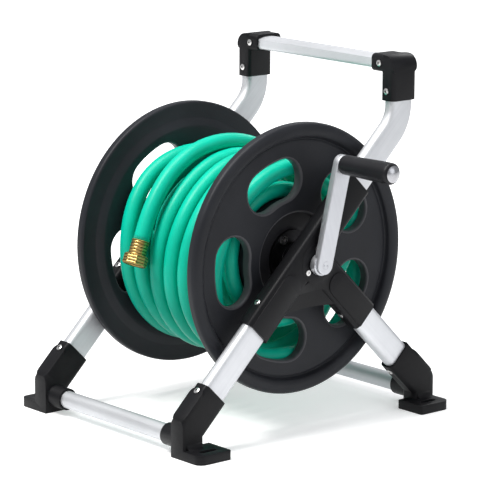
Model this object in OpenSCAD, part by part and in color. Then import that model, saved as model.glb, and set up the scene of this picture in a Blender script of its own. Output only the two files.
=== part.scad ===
// Free-standing hose reel: two tube side frames, a reel turned by a crank, and the hose wound on it.
// Before it is placed, X = 0 is midway between the flanges, Y = 0 is at the axle and Z = 0 is the floor.
// +X points to the crank, -Y to the front and +Y to the handle.

/* [Reel] */
// Diameter of the two flanges
flange_d = 340; // [320:1:350]
// Clear width between the webs of the two flanges
winding_w = 194; // [185:1:194]
// Thickness of a flange's web round the windows
web_t = 13; // [10:0.5:13]
// Width of a flange's rim
rim_w = 15.2; // [12:0.2:16]
// How far the rim's inner face stands outside the web's inner face
rim_dish = 6.3; // [4:0.1:7]
// Radial depth of the bead round the rim
bead_depth = 18; // [14:0.5:20]
// Diameter of the recess in a flange's hub
recess_d = 115; // [108:1:120]
// Thickness of the floor of that recess
floor_t = 5; // [4:0.5:6]
// Number of windows in a flange
window_count = 5; // [3:1:5]
// Radius from the axle to the windows' inner edge
window_r_in = 76; // [72:0.5:80]
// Radius from the axle to the windows' outer edge
window_r_out = 128.5; // [124:0.5:130]
// Half of the angle that a window's straight run sweeps
window_sweep = 9.7; // [6:0.1:9.8]
// Angle of the first window in the right flange
window_start_right = 38.5; // [0:0.5:72]
// Angle of the first window in the left flange
window_start_left = 49.5; // [0:0.5:72]
// Outer diameter of the drum
drum_d = 140; // [138:1:142]
// Wall of the drum
drum_wall = 2.7; // [2:0.1:3]
// How far a flange's spigot enters the drum
spigot_l = 8; // [4:0.5:9]
// Number of tie bolts
bolt_count = 4; // [3:1:5]
// Radius of the circle that the tie bolts lie on
bolt_circle_r = 29; // [28:0.5:30]
// Diameter of a tie bolt
bolt_d = 6; // [5:0.5:6.5]
// Angle of the first tie bolt
bolt_start = 123.5; // [90:0.5:150]

/* [Axle] */
// Height of the axle above the floor
axle_z = 212; // [205:1:220]
// Diameter of the crank shaft and of the water spindle
axle_d = 16; // [14:0.5:16]
// Diameter of the waterway in the spindle
waterway_d = 10; // [7:0.5:10]
// Diameter of the plates that join the shaft and the spindle to the flanges
plate_d = 70; // [68:1:72]
// Thickness of those plates
plate_t = 4; // [3:0.5:4]
// Outer diameter of the bearing bushes
bush_d = 24; // [22:0.5:24]
// Outer diameter of the bearing housings
housing_d = 40; // [38:0.5:42]
// Diameter of the mounting plate on a bearing housing
housing_plate_d = 50; // [48:0.5:52]
// Outside diameter of the inlet's thread
inlet_d = 26.4; // [24:0.2:27]
// Length of the inlet's thread
inlet_thread_l = 15; // [12:0.5:18]

/* [Hose] */
// Outside diameter of the hose
hose_d = 20.8; // [19:0.1:20.8]
// Inside diameter of the hose
hose_bore_d = 15.9; // [14:0.1:16]
// Distance from one outer turn to the next
turn_pitch = 27.2; // [26.8:0.1:27.4]
// Number of outer turns side by side
turn_count = 7; // [6:1:7]
// Mean radius of the outer turns' centre line
turn_r = 113.8; // [113.6:0.1:115]
// How far the turns are from round
turn_oval = 7; // [5:0.5:7]
// How far the turns hang down
turn_sag = 8.5; // [7:0.5:8.5]
// How far the last two turns stand outside the others
turn_swell = 3; // [2:0.5:3]
// How far the turns next to the crank bulge out behind the axle
rear_bulge = 16; // [10:1:16]
// How far the last turn leans towards the left flange
turn_lean = 7; // [4:0.5:7]
// Distance of the free end's centre line outside the turns' mean radius
free_rise = 12.3; // [12:0.1:13]
// Radius of the plain core under the outer turns
core_r = 91; // [86:1:91]
// Length of the ferrule
ferrule_l = 17.5; // [16:0.5:20]
// Outside diameter of the ferrule
ferrule_d = 22.5; // [21.5:0.1:22.6]
// Width across the flats of the coupling nut
nut_flats = 28.5; // [27.5:0.1:28.6]
// Length of the coupling nut
nut_l = 14; // [13:0.5:16]
// Diameter of the coupling nut's thread
nut_thread_d = 24.8; // [23:0.2:25]

/* [Crank] */
// Distance from the axle to the grip's axis
crank_r = 125.6; // [120:0.5:128]
// Lean of the crank arm from upright, to the rear
crank_lean = 13.8; // [0:0.2:40]
// Width of the crank arm
arm_w = 23.5; // [22:0.5:26]
// Thickness of the crank arm
arm_t = 10; // [8:0.5:11]
// Diameter of the boss behind the arm
arm_boss_d = 27; // [24:0.5:27]
// Length of the boss behind the arm
arm_boss_l = 5; // [4:0.5:6]
// Length of the grip
grip_l = 85.5; // [80:0.5:90]
// Diameter of the grip at the arm
grip_d = 24.5; // [22:0.5:25]
// Greatest diameter of the grip
grip_max_d = 27; // [26:0.5:28]
// Diameter of the bolt that the grip turns on
grip_bolt_d = 8; // [7:0.5:9]
// Diameter of the domed cap at the grip's end
cap_d = 21; // [19:0.5:22]
// Height of the domed cap
cap_h = 3.1; // [2.5:0.1:4]

/* [Side frames] */
// Distance from the reel's middle to the middle of a side frame
side_x = 138; // [138:0.5:142]
// Width of the flat-oval tube, in the plane of the side frame
tube_w = 36; // [34:0.5:36]
// Thickness of the flat-oval tube
tube_t = 18; // [16:0.5:18]
// Wall of the tubes
tube_wall = 1.5; // [1.2:0.1:2]
// Radius of the flat-oval tube's corners
tube_corner = 7; // [6:0.5:7.5]
// Wall of the black sockets round the tubes
socket_wall = 2.5; // [2.4:0.1:2.6]
// Offset of the front leg from the axle
front_offset = 13.5; // [12:0.5:15]
// Offset of the rear leg from the axle
rear_offset = 3; // [1:0.5:5]
// Reach of the bracket's front socket from the axle
front_socket_s = 119; // [110:1:125]
// Reach of the bracket's upper socket from the axle
upper_socket_s = 115; // [110:1:125]
// Reach of the bracket's rear socket from the axle
rear_socket_s = 115; // [110:1:125]
// Distance from the axle to the tubes' ends in the bracket
tube_start = 42; // [40:0.5:48]
// Depth of the bracket's lower edge below the axle
arch_drop = 57; // [52:0.5:62]
// Depth of the step in the bracket's web below the axle
web_drop = 36; // [32:0.5:40]
// Thickness of the bracket's web below the step
arch_t = 15; // [12:0.5:17]
// Height of the raised pads on the bracket's sockets
pad_h = 1.2; // [0.6:0.1:1.2]
// Distance from the axle to the round ends of the pads
pad_start = 32; // [30:0.5:36]

/* [Handle] */
// Distance from the axle to the handle's middle plane, to the rear
handle_y = 143; // [140:0.5:150]
// Radius of the bend in the handle tube's centre line
bend_r = 50; // [40:1:55]
// Height of the top of the elbows
elbow_top = 457; // [450:1:465]
// Height of an elbow's upright socket
elbow_h = 57; // [54:0.5:60]
// Distance from the reel's middle to the end of an elbow's arm
elbow_arm_x = 110; // [100:1:114]
// Height of the handle bar's section
bar_h = 16; // [15:0.5:16]
// Wall of the elbow over the handle bar
elbow_wall = 3; // [2.5:0.1:3.2]
// Radius of the elbow's outer corner
elbow_corner = 15; // [10:0.5:16]

/* [Feet] */
// Distance from the axle to the front of the front feet
front_reach = 212; // [208:0.5:216]
// Distance from the axle to the back of the rear feet
rear_reach = 201.2; // [198:0.5:205]
// Depth of a foot's upright part, front to back
foot_depth = 33.5; // [32:0.5:35]
// Distance from the axle down the front leg to the foot's mouth
front_mouth_s = 211.3; // [205:0.5:214]
// Distance from the axle down the rear leg to the foot's mouth
rear_mouth_s = 199.7; // [194:0.5:202]
// How far a leg enters its foot
leg_entry = 32; // [26:1:34]
// Thickness of a foot's plate
foot_plate_t = 11.7; // [10:0.1:13]
// Length of a foot's plate, front to back
foot_plate_l = 49.6; // [46:0.2:54]
// Distance from the reel's middle to the outer edge of the plates
foot_edge_x = 181; // [178:0.5:185]
// Radius of the corners of a foot's plate
foot_corner = 10; // [6:0.5:12]
// Radius of the fillet between a foot's side and its plate
root_r = 8; // [5:0.5:9]
// Width of the fixing slot
slot_w = 8; // [6:0.5:9]
// Length of the fixing slot, end to end
slot_l = 24; // [20:0.5:26]
// Distance from the reel's middle to the fixing slots
slot_x = 166; // [164:0.5:168]
// Height of the cross tubes' axis
cross_z = 21; // [20:0.5:24]
// Diameter of the cross tubes
cross_d = 22; // [20:0.5:22]
// Wall round the cross tubes in the feet
cross_boss_wall = 3; // [2.5:0.5:4]
// Distance from the reel's middle to the end of a cross tube's boss
cross_boss_x = 102; // [98:1:108]
// How far a cross tube enters its boss
cross_entry = 22; // [16:1:24]

/* [Screws and fits] */
// Diameter of a screw's head
screw_head_d = 8; // [7:0.5:8]
// Height of a screw's head
screw_head_h = 1.8; // [1.2:0.1:2]
// Diameter of a screw's shank
screw_d = 4; // [3:0.5:4]
// Length of a screw's shank
screw_l = 9; // [7:0.5:10]
// Clearance round a piece that is fixed in another
fit_gap = 0.05; // [0.04:0.01:0.08]
// Radial clearance of a piece that turns in another
run_gap = 0.05; // [0.04:0.01:0.08]
// Clearance between faces that turn past each other
face_gap = 0.3; // [0.2:0.05:0.4]

/* [Hidden] */
$fn = 48;
black = "#2b2c31";
aluminium = "#c9ccd1";
steel = "#b8b8b6";
bright = "#e6e6ea";
brass = "#c8963c";
rubber = "#1b1b1b";
green = "#0fb98c";

// Side frames
socket_w = tube_w + 2 * socket_wall;
socket_t = tube_t + 2 * socket_wall;
socket_corner = tube_corner - 1;
front_angle = 225;
upper_angle = 45;
rear_angle = -45;
bracket_in = side_x - socket_t / 2;
bracket_out = side_x + socket_t / 2;
// How far the bracket's boss round the axle stands out of its two broad faces, and its web behind them
hub_rise = 0.3;
web_inset = 0.6;
housing_out = bracket_in - hub_rise;
tube_lean = 45;
bend_tangent = bend_r * tan(tube_lean / 2);
// The handle tube's bend ends this far below the elbow's mouth
bend_gap = 5.2;
bend_z = elbow_top - elbow_h - bend_gap;
// Height of the corner where the handle tube's two centre lines cross, and its distance up the leaning line
corner_z = bend_z - bend_tangent;
corner_s = (handle_y + corner_z - axle_z) / sqrt(2);
// Offset of the handle tube from the axle; the leaning line is the front leg's own where both are alike
upper_offset = (corner_z - axle_z - handle_y) / sqrt(2);
// The upper socket is this much slimmer than the front one, and starts inside it
upper_slim = 0.15;
bracket_screw_s = front_socket_s - 31;
foot_screw_drop = 10.5;

// Axle line, with places given as distances from the reel's middle
web_x = winding_w / 2;
floor_out = web_x + 2;
floor_in = floor_out - floor_t;
plate_out = floor_out + plate_t;
bush_flange_t = 4;
bush_flange_d = 34;
bush_face = plate_out + face_gap;
housing_end = bush_face + bush_flange_t;
housing_plate_t = 4;
hub_screw_r = 18.2;
hub_screw_start = 211.8;
hub_screw_count = 3;
arm_in = bracket_out + face_gap + pad_h + arm_boss_l - 1;
arm_out = arm_in + arm_t;
shaft_end = arm_out - 3.5;
inlet_start = housing_end + 8;
inlet_flange_d = 46;
inlet_flange_t = 4;
inlet_hex_l = 5;
inlet_end = bracket_out + inlet_flange_t + inlet_hex_l + inlet_thread_l;
spindle_end = bracket_out - 5;
seal_wire = 1.5;
seal_x = [spindle_end - 5, spindle_end - 12];
spindle_entry = 4.5;
spindle_in = floor_in - spindle_entry;

// Crank, in the arm's own frame with the axle at 0
cap_end = arm_out + 0.5 + grip_l + cap_h;
crank_head_d = 9;
crank_head_h = 1.6;
grip_nut_h = 3;

// Handle
bar_top = elbow_top - elbow_wall;
bar_end = side_x - 9;
tube_top = bar_top - bar_h - elbow_wall - 2;

// Feet
front_foot_y = -(front_reach - foot_depth / 2);
rear_foot_y = rear_reach - foot_depth / 2;
cross_boss_d = cross_d + 2 * cross_boss_wall;

// Outlet inside the drum
elbow_r = 11;
elbow_step = 1;
elbow_reach = elbow_r + 0.5;
elbow_x = spindle_in - elbow_reach;
lead_angle = bolt_start + 180 / bolt_count;
lead_start = 18;
barb_l = 22;

// Coupling, with places given along the hose's free end
stem_r = 6;
nut_wall = 2.4;
nut_start = ferrule_l + face_gap;
collar_start = nut_start + nut_wall + face_gap;
collar_t = 2;
washer_t = 2;
thread_start = collar_start + collar_t + washer_t + face_gap;

// Place of the whole part: X and Y at the middle of its box
mid_x = (cap_end - foot_edge_x) / 2;
mid_y = (rear_reach - front_reach) / 2;

// Hose winding
rings_per_turn = 24;
tube_sides = 6;
// The turns lie square to the axle, and each steps over to the next between these two angles
step_from = 290;
step_to = 410;
first_x = web_x - hose_d / 2 - 0.6;
tail_angle = 164;
cross_rise = hose_d + 1.2;
last_step = step_from + 360 * (turn_count - 1);
wind_from = 55;
wind_to = tail_angle + 360 * turn_count;
// The free end comes down to its own radius from here on, and springs away from the turns at its very end
settle_from = last_step + 111;
settle_span = 60;
drift_from = last_step + 160;
free_drift = 5;
spring_span = 26;
spring = 4;
// The last turn leans most at the first of these angles; the others bulge most at the second
lean_at = 128 + 360 * (turn_count - 1);
lean_span = 60;
bulge_at = 340;
bulge_span = 85;
wind_rings = ceil((wind_to - wind_from) / 360 * rings_per_turn);

function ease(t) = let (c = min(max(t, 0), 1)) c * c * (3 - 2 * c);
function steps(a) = a < step_from ? 0
    : floor((a - step_from) / 360) + ease(((a - step_from) % 360) / (step_to - step_from));
function lean(a) = ease(1 - abs(a - lean_at) / lean_span);
function bulge(a) = ease(1 - abs((a - bulge_at + 540) % 360 - 180) / bulge_span);
function stepped(a, n) = ease((a - last_step + 360 * n) / (step_to - step_from));
function drift(a) = free_drift * pow(max(0, (a - drift_from) / (wind_to - drift_from)), 2);
function turn_x(a) = a < last_step
    ? first_x - turn_pitch * steps(a) - turn_lean * lean(a)
    : first_x - turn_pitch * (turn_count - 1) + 1.5 * turn_pitch * stepped(a, 0) + drift(a);
function layer_radius(a) = turn_r + turn_swell * stepped(a, 2) + turn_lean / 2 * lean(a)
    - turn_oval * (1 - stepped(a, 2)) * cos(2 * (a - 150)) - turn_sag * sin(a)
    + rear_bulge * (1 - stepped(a, 3)) * bulge(a);
function free_radius(a) = turn_r + free_rise + spring * pow(max(0, 1 + (a - wind_to) / spring_span), 2);
function turn_radius(a) = let (over = layer_radius(a) + cross_rise * ease((a - last_step + 35) / 75))
    over + (free_radius(a) - over) * ease((a - settle_from) / settle_span);
function wound(a) = [turn_x(a), turn_radius(a) * cos(a), turn_radius(a) * sin(a)];
function unit(v) = v / norm(v);
function heading(a) = unit(wound(a + 0.5) - wound(a - 0.5));
function outward(a) = [0, cos(a), sin(a)];

// The winding's two ends run straight for one hose diameter
head = heading(wind_from);
tail = heading(wind_to);
head_point = wound(wind_from) - hose_d * head;
tail_point = wound(wind_to) + hose_d * tail;
path = concat([head_point, head_point + hose_d / 2 * head],
    [for (i = [0:wind_rings]) wound(wind_from + (wind_to - wind_from) * i / wind_rings)],
    [tail_point - hose_d / 2 * tail, tail_point]);
path_angle = concat([wind_from, wind_from],
    [for (i = [0:wind_rings]) wind_from + (wind_to - wind_from) * i / wind_rings],
    [wind_to, wind_to]);
path_dir = [for (i = [0:len(path) - 1])
    i < 3 ? head : i > len(path) - 4 ? tail : unit(path[i + 1] - path[i - 1])];

function side_of(i) = unit(cross(path_dir[i], outward(path_angle[i])));
function ring(i) = let (b = side_of(i), n = cross(b, path_dir[i]))
    [for (k = [0:tube_sides - 1]) let (a = (k + 0.5) * 360 / tube_sides)
        path[i] + hose_d / 2 * (cos(a) * n + sin(a) * b)];

// Least gap of the winding to itself, measured from each point of its path to those a half turn on
half_turn = rings_per_turn / 2;
self_gap = min([for (i = [0:len(path) - 1 - half_turn])
    min([for (j = [i + half_turn:len(path) - 1]) norm(path[i] - path[j])])]) - hose_d;
echo(winding_self_gap = self_gap, tail = tail_point, tail_heading = tail);

// Shared shapes

// Moves a piece from the reel's own place to its place in the part
module placed() {
    translate([-mid_x, -mid_y, 0]) children();
}

// Draws a piece of the right side, or its mirror image on the left
module on_side(side) {
    placed() scale_side(side) children();
}

module scale_side(side) {
    if (side > 0) children();
    else mirror([1, 0, 0]) children();
}

// Puts a shape that is drawn along +Z on a leg's line, with +X kept
module on_leg(angle, offset) {
    translate([side_x, 0, axle_z]) rotate([angle - 90, 0, 0]) translate([0, offset, 0]) children();
}

// Puts a shape that is drawn along +Z on the axle, pointing to +X
module on_axle(x = 0) {
    translate([x, 0, axle_z]) rotate([0, 90, 0]) rotate([0, 0, 90]) children();
}

// Extrudes an outline of Y and Z from x0 to x1
module slab(x0, x1) {
    translate([x0, 0, 0]) rotate([90, 0, 90]) linear_extrude(x1 - x0) children();
}

function corner_arc(cx, cy, r, from, n = 5) =
    [for (i = [0:n]) [cx + r * cos(from + 90 * i / n), cy + r * sin(from + 90 * i / n)]];

// Rectangle of w by h about the origin with rounded corners
module rounded(w, h, r) {
    polygon(concat(
        corner_arc(w / 2 - r, h / 2 - r, r, 0), corner_arc(r - w / 2, h / 2 - r, r, 90),
        corner_arc(r - w / 2, r - h / 2, r, 180), corner_arc(w / 2 - r, r - h / 2, r, 270)));
}

module tube_outline(grow = 0) {
    rounded(tube_t + 2 * grow, tube_w + 2 * grow, tube_corner + grow);
}

module tube_section(grow = 0) {
    difference() {
        tube_outline(grow);
        tube_outline(grow - tube_wall);
    }
}

module socket_outline(extra = 0) {
    rounded(socket_t, socket_w + 2 * extra, socket_corner + extra);
}

// Pan-head screw with its head's seat at Z = 0 and its shank below
module screw() {
    difference() {
        union() {
            translate([0, 0, -screw_l]) cylinder(d = screw_d, h = screw_l + 0.2);
            cylinder(d = screw_head_d, h = screw_head_h * 0.6);
            translate([0, 0, screw_head_h * 0.6])
                cylinder(d1 = screw_head_d, d2 = screw_head_d * 0.6, h = screw_head_h * 0.4);
        }
        translate([0, 0, screw_head_h * 0.4]) cylinder(d = screw_head_d * 0.42, h = screw_head_h, $fn = 6);
    }
}

module screw_hole() {
    translate([0, 0, -screw_l - 1]) cylinder(d = screw_d + 2 * fit_gap, h = screw_l + 4);
}

// Legs and handle tubes

module bracket_screw_places() {
    on_leg(front_angle, front_offset) translate([0, socket_w / 2, bracket_screw_s])
        rotate([-90, 0, 0]) children();
    on_leg(upper_angle, -upper_offset) translate([0, upper_slim - socket_w / 2, bracket_screw_s])
        rotate([90, 0, 0]) children();
    on_leg(rear_angle, -rear_offset) translate([0, socket_w / 2, bracket_screw_s])
        rotate([-90, 0, 0]) children();
}

module foot_screw_places() {
    on_leg(front_angle, front_offset) translate([0, socket_w / 2, front_mouth_s + foot_screw_drop])
        rotate([-90, 0, 0]) children();
    on_leg(rear_angle, -rear_offset) translate([0, socket_w / 2, rear_mouth_s + foot_screw_drop])
        rotate([-90, 0, 0]) children();
}

module elbow_screw_places() {
    elbow_front = handle_y - socket_w / 2;
    translate([bar_end - 5, elbow_front, bar_top - bar_h / 2]) rotate([90, 0, 0]) children();
    translate([side_x, elbow_front, elbow_top - elbow_h + 12]) rotate([90, 0, 0]) children();
}

module straight_tube(angle, offset, from, to) {
    on_leg(angle, offset) translate([0, 0, from]) linear_extrude(to - from) tube_section();
}

module front_leg(side) {
    color(aluminium) on_side(side) difference() {
        straight_tube(front_angle, front_offset, tube_start, front_mouth_s + leg_entry);
        bracket_screw_places() screw_hole();
        foot_screw_places() screw_hole();
    }
}

module rear_leg(side) {
    color(aluminium) on_side(side) difference() {
        straight_tube(rear_angle, -rear_offset, tube_start, rear_mouth_s + leg_entry);
        bracket_screw_places() screw_hole();
        foot_screw_places() screw_hole();
    }
}

module handle_tube(side) {
    // The upright stretch enters the bend by this much, and is this much smaller all round
    overlap = 0.3;
    step = 0.02;
    color(aluminium) on_side(side) difference() {
        union() {
            translate([side_x, handle_y - bend_r, bend_z]) rotate([90, 0, 90]) rotate([0, 0, -tube_lean]) {
                rotate_extrude(angle = tube_lean, $fn = 96)
                    translate([bend_r, 0]) rotate([0, 0, 90]) tube_section();
                translate([bend_r, 0, 0]) rotate([90, 0, 0])
                    linear_extrude(corner_s - bend_tangent - tube_start) rotate([0, 0, 90]) tube_section();
            }
            translate([side_x, handle_y, bend_z - overlap])
                linear_extrude(tube_top - bend_z + overlap) tube_section(-step);
        }
        bracket_screw_places() screw_hole();
        elbow_screw_places() screw_hole();
    }
}

// Hub brackets, with their sockets, and the bearings in them

module socket(angle, offset, from, to, slim = 0) {
    on_leg(angle, offset) translate([0, 0, from]) linear_extrude(to - from)
        rounded(socket_t - 2 * slim, socket_w - 2 * slim, socket_corner - slim);
}

module socket_bore(angle, offset, reach) {
    on_leg(angle, offset) translate([0, 0, tube_start - 1]) linear_extrude(reach) tube_outline(fit_gap);
}

// Raised pad on a socket's outer face, with a round end towards the axle
module socket_pad(angle, offset, reach) {
    pad_w = socket_w - 2 * socket_corner + 2;
    on_leg(angle, offset) translate([socket_t / 2 - 1, 0, 0]) rotate([0, 90, 0]) linear_extrude(pad_h + 1) {
        translate([-pad_start - pad_w / 2, 0]) circle(d = pad_w);
        translate([-reach, -pad_w / 2]) square([reach - pad_start - pad_w / 2, pad_w]);
    }
}

// Web between the front and the rear socket, down to the given depth
module web_outline(depth) {
    front_edge = front_offset - socket_w / 2 + socket_corner + 2;
    rear_edge = rear_offset - socket_w / 2 + socket_corner + 2;
    polygon([
        [0, -bush_d / 2 - 1.5],
        [-depth - front_edge * sqrt(2), -depth],
        [0, -depth + 3],
        [depth + rear_edge * sqrt(2), -depth]
    ]);
}

module hub_screw_places(x) {
    for (i = [0:hub_screw_count - 1])
        on_axle(x) rotate([0, 0, hub_screw_start + 360 / hub_screw_count * i])
            translate([hub_screw_r, 0, 0]) children();
}

module hub_bracket(side) {
    color(black) on_side(side) difference() {
        union() {
            socket(front_angle, front_offset, 0, front_socket_s);
            socket(upper_angle, -upper_offset, -socket_w / 4, upper_socket_s, upper_slim);
            socket(rear_angle, -rear_offset, 0, rear_socket_s);
            socket_pad(front_angle, front_offset, front_socket_s);
            socket_pad(rear_angle, -rear_offset, rear_socket_s);
            on_axle(housing_out) cylinder(d = housing_plate_d, h = socket_t + 2 * hub_rise);
            translate([0, 0, axle_z]) slab(bracket_in + web_inset, bracket_out - web_inset)
                web_outline(web_drop);
            translate([0, 0, axle_z]) slab(side_x - arch_t / 2, side_x + arch_t / 2)
                web_outline(arch_drop);
        }
        socket_bore(front_angle, front_offset, front_socket_s);
        socket_bore(upper_angle, -upper_offset, upper_socket_s);
        socket_bore(rear_angle, -rear_offset, rear_socket_s);
        on_axle(bracket_in - 1) cylinder(d = bush_d, h = socket_t + 2);
        hub_screw_places(bracket_in - 1) cylinder(d = screw_d + 2 * fit_gap, h = socket_t + 2);
        bracket_screw_places() screw_hole();
        if (side < 0) inlet_screw_places() screw_hole();
    }
}

module axle_housing(side) {
    color(black) on_side(side) difference() {
        union() {
            on_axle(housing_end) cylinder(d = housing_d, h = housing_out - housing_end);
            on_axle(housing_out - housing_plate_t) cylinder(d = housing_plate_d, h = housing_plate_t);
        }
        on_axle(housing_end - 1) cylinder(d = bush_d, h = bracket_in - housing_end + 2);
        hub_screw_places(bracket_in - screw_d * 2) cylinder(d = screw_d + 2 * fit_gap, h = screw_d * 3);
    }
}

module axle_bush(side) {
    bush_out = side > 0 ? bracket_out : inlet_start;
    color(steel) on_side(side) difference() {
        union() {
            on_axle(bush_face) cylinder(d = bush_flange_d, h = bush_flange_t);
            on_axle(bush_face) cylinder(d = bush_d - 2 * fit_gap, h = bush_out - bush_face);
        }
        on_axle(bush_face - 1) cylinder(d = axle_d + 2 * run_gap, h = bush_out - bush_face + 2);
    }
}

module hub_screws() {
    shank = bracket_out - bracket_in + 6;
    color(bright) for (side = [-1, 1]) on_side(side) hub_screw_places(bracket_out + hub_rise) {
        difference() {
            union() {
                translate([0, 0, -shank]) cylinder(d = screw_d, h = shank + 0.2);
                cylinder(d = screw_head_d - 1, h = pad_h);
            }
            translate([0, 0, pad_h / 2]) cylinder(d = screw_head_d * 0.42, h = pad_h, $fn = 6);
        }
    }
}

module bracket_screws() {
    color(bright) for (side = [-1, 1]) on_side(side) bracket_screw_places() screw();
}

// Water inlet on the left

module inlet_screw_places() {
    for (a = [90, 210, 330])
        on_axle(bracket_out + inlet_flange_t) rotate([0, 0, a]) translate([inlet_flange_d / 2 + 3, 0, 0])
            children();
}

module inlet_body() {
    // The inlet's flange seats on the heads of the hub screws
    flange_x = bracket_out + hub_rise + pad_h;
    color(black) on_side(-1) difference() {
        union() {
            on_axle(inlet_start + fit_gap)
                cylinder(d = bush_d - 2 * fit_gap, h = inlet_end - inlet_start - fit_gap);
            on_axle(flange_x) cylinder(d = inlet_flange_d, h = bracket_out + inlet_flange_t - flange_x);
            for (a = [90, 210, 330])
                on_axle(flange_x) rotate([0, 0, a]) translate([inlet_flange_d / 2 + 3, 0, 0])
                    cylinder(d = 12, h = bracket_out + inlet_flange_t - flange_x);
            on_axle(bracket_out + inlet_flange_t) cylinder(d = 34, h = inlet_hex_l, $fn = 6);
            on_axle(inlet_end - inlet_thread_l) cylinder(d = inlet_d, h = inlet_thread_l);
        }
        on_axle(inlet_start - 1) cylinder(d = axle_d + 2 * run_gap, h = spindle_end - inlet_start + 2);
        on_axle(inlet_start) cylinder(d = waterway_d, h = inlet_end - inlet_start + 1);
        inlet_screw_places() screw_hole();
    }
}

module inlet_screws() {
    color(bright) on_side(-1) inlet_screw_places() screw();
}

// Feet and cross tubes

// Side view of a foot's body: out is the distance from the axle, up is the height
module foot_outline(reach, offset, mouth) {
    half = socket_w / 2;
    r2 = sqrt(2);
    front_kink = axle_z - reach + (offset + half) * r2;
    back = reach - foot_depth;
    back_kink = axle_z - back + (offset - half) * r2;
    polygon([
        [(mouth + offset + half) / r2, axle_z + (offset + half - mouth) / r2],
        [(mouth + offset - half) / r2, axle_z + (offset - half - mouth) / r2],
        [back, back_kink], [back, 0], [reach, 0], [reach, front_kink]
    ]);
}

// Foot that reaches to +Y, with its plate to +X
module foot_solid(reach, offset, mouth) {
    centre = reach - foot_depth / 2;
    plate_l = foot_plate_l;
    inner = bracket_in;
    far = foot_edge_x;
    // The body's sections are this much wider than the side view that trims them
    trim = 0.15;
    difference() {
        union() {
            intersection() {
                slab(inner, bracket_out) foot_outline(reach, offset, mouth);
                union() {
                    on_leg(rear_angle, -offset) translate([0, 0, mouth - 1])
                        linear_extrude(mouth) socket_outline(trim);
                    translate([side_x, centre, -1]) linear_extrude(axle_z)
                        rounded(socket_t, foot_depth + 2 * trim, socket_corner + trim);
                }
            }
            linear_extrude(foot_plate_t) polygon(concat(
                [[side_x, reach - plate_l]], corner_arc(far - 3, reach - plate_l + 3, 3, 270, 3),
                corner_arc(far - foot_corner, reach - foot_corner, foot_corner, 0), [[side_x, reach]]));
            translate([0, centre, foot_plate_t]) rotate([90, 0, 0])
                translate([0, 0, socket_corner - foot_depth / 2])
                linear_extrude(foot_depth - 2 * socket_corner)
                    polygon(concat([[bracket_out - 1, -1], [bracket_out - 1, root_r]],
                        [for (i = [0:6]) let (a = 180 + 15 * i)
                            [bracket_out + root_r + root_r * cos(a), root_r + root_r * sin(a)]],
                        [[bracket_out + root_r, -1]]));
            translate([cross_boss_x, centre, cross_z]) rotate([0, 90, 0])
                cylinder(d = cross_boss_d, h = side_x - cross_boss_x);
        }
        on_leg(rear_angle, -offset) translate([0, 0, mouth - 2])
            linear_extrude(leg_entry + 2 + face_gap) tube_outline(fit_gap);
        translate([cross_boss_x - 1, centre, cross_z]) rotate([0, 90, 0])
            cylinder(d = cross_d + 2 * fit_gap, h = cross_entry + 1 + face_gap);
        translate([slot_x, reach - plate_l / 2, -1]) for (end = [-1, 1]) {
            translate([0, end * (slot_l - slot_w) / 2, 0]) cylinder(d = slot_w, h = foot_plate_t + 2);
        }
        translate([slot_x - slot_w / 2, reach - plate_l / 2 - (slot_l - slot_w) / 2, -1])
            cube([slot_w, slot_l - slot_w, foot_plate_t + 2]);
    }
}

module front_foot(side) {
    color(black) on_side(side) difference() {
        mirror([0, 1, 0]) foot_solid(front_reach, front_offset, front_mouth_s);
        foot_screw_places() screw_hole();
    }
}

module rear_foot(side) {
    color(black) on_side(side) difference() {
        foot_solid(rear_reach, rear_offset, rear_mouth_s);
        foot_screw_places() screw_hole();
    }
}

module foot_screws() {
    color(bright) for (side = [-1, 1]) on_side(side) foot_screw_places() screw();
}

module cross_tube(y) {
    end = cross_boss_x + cross_entry;
    color(aluminium) placed() translate([-end, y, cross_z]) rotate([0, 90, 0]) difference() {
        cylinder(d = cross_d, h = 2 * end);
        translate([0, 0, -1]) cylinder(d = cross_d - 2 * tube_wall, h = 2 * end + 2);
    }
}

module front_cross_tube() {
    cross_tube(front_foot_y);
}

module rear_cross_tube() {
    cross_tube(rear_foot_y);
}

// Handle

// Section of the handle bar in Y and Z, flat in front and below and crowned on top
module bar_outline(grow = 0) {
    w = tube_w + 2 * grow;
    h = bar_h + 2 * grow;
    crown = 3;
    r = 4 + grow;
    polygon(concat(
        corner_arc(r - w / 2, r - h / 2, r, 180), corner_arc(w / 2 - r, r - h / 2, r, 270),
        [for (i = [0:8]) let (t = 1 - i / 4) [t * w / 2, h / 2 - crown * t * t]]));
}

module handle_bar() {
    color(aluminium) placed() difference() {
        translate([0, handle_y, bar_top - bar_h / 2]) slab(-bar_end, bar_end) difference() {
            bar_outline();
            bar_outline(-tube_wall);
        }
        for (side = [-1, 1]) scale_side(side) elbow_screw_places() screw_hole();
    }
}

// Front view of an elbow, with X across and Z up
module elbow_outline() {
    arm_z = bar_top - bar_h - elbow_wall;
    polygon(concat(
        [[elbow_arm_x, arm_z], [bracket_in, arm_z], [bracket_in, elbow_top - elbow_h],
            [bracket_out, elbow_top - elbow_h]],
        corner_arc(bracket_out - elbow_corner, elbow_top - elbow_corner, elbow_corner, 0, 8),
        [[elbow_arm_x, elbow_top]]));
}

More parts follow.
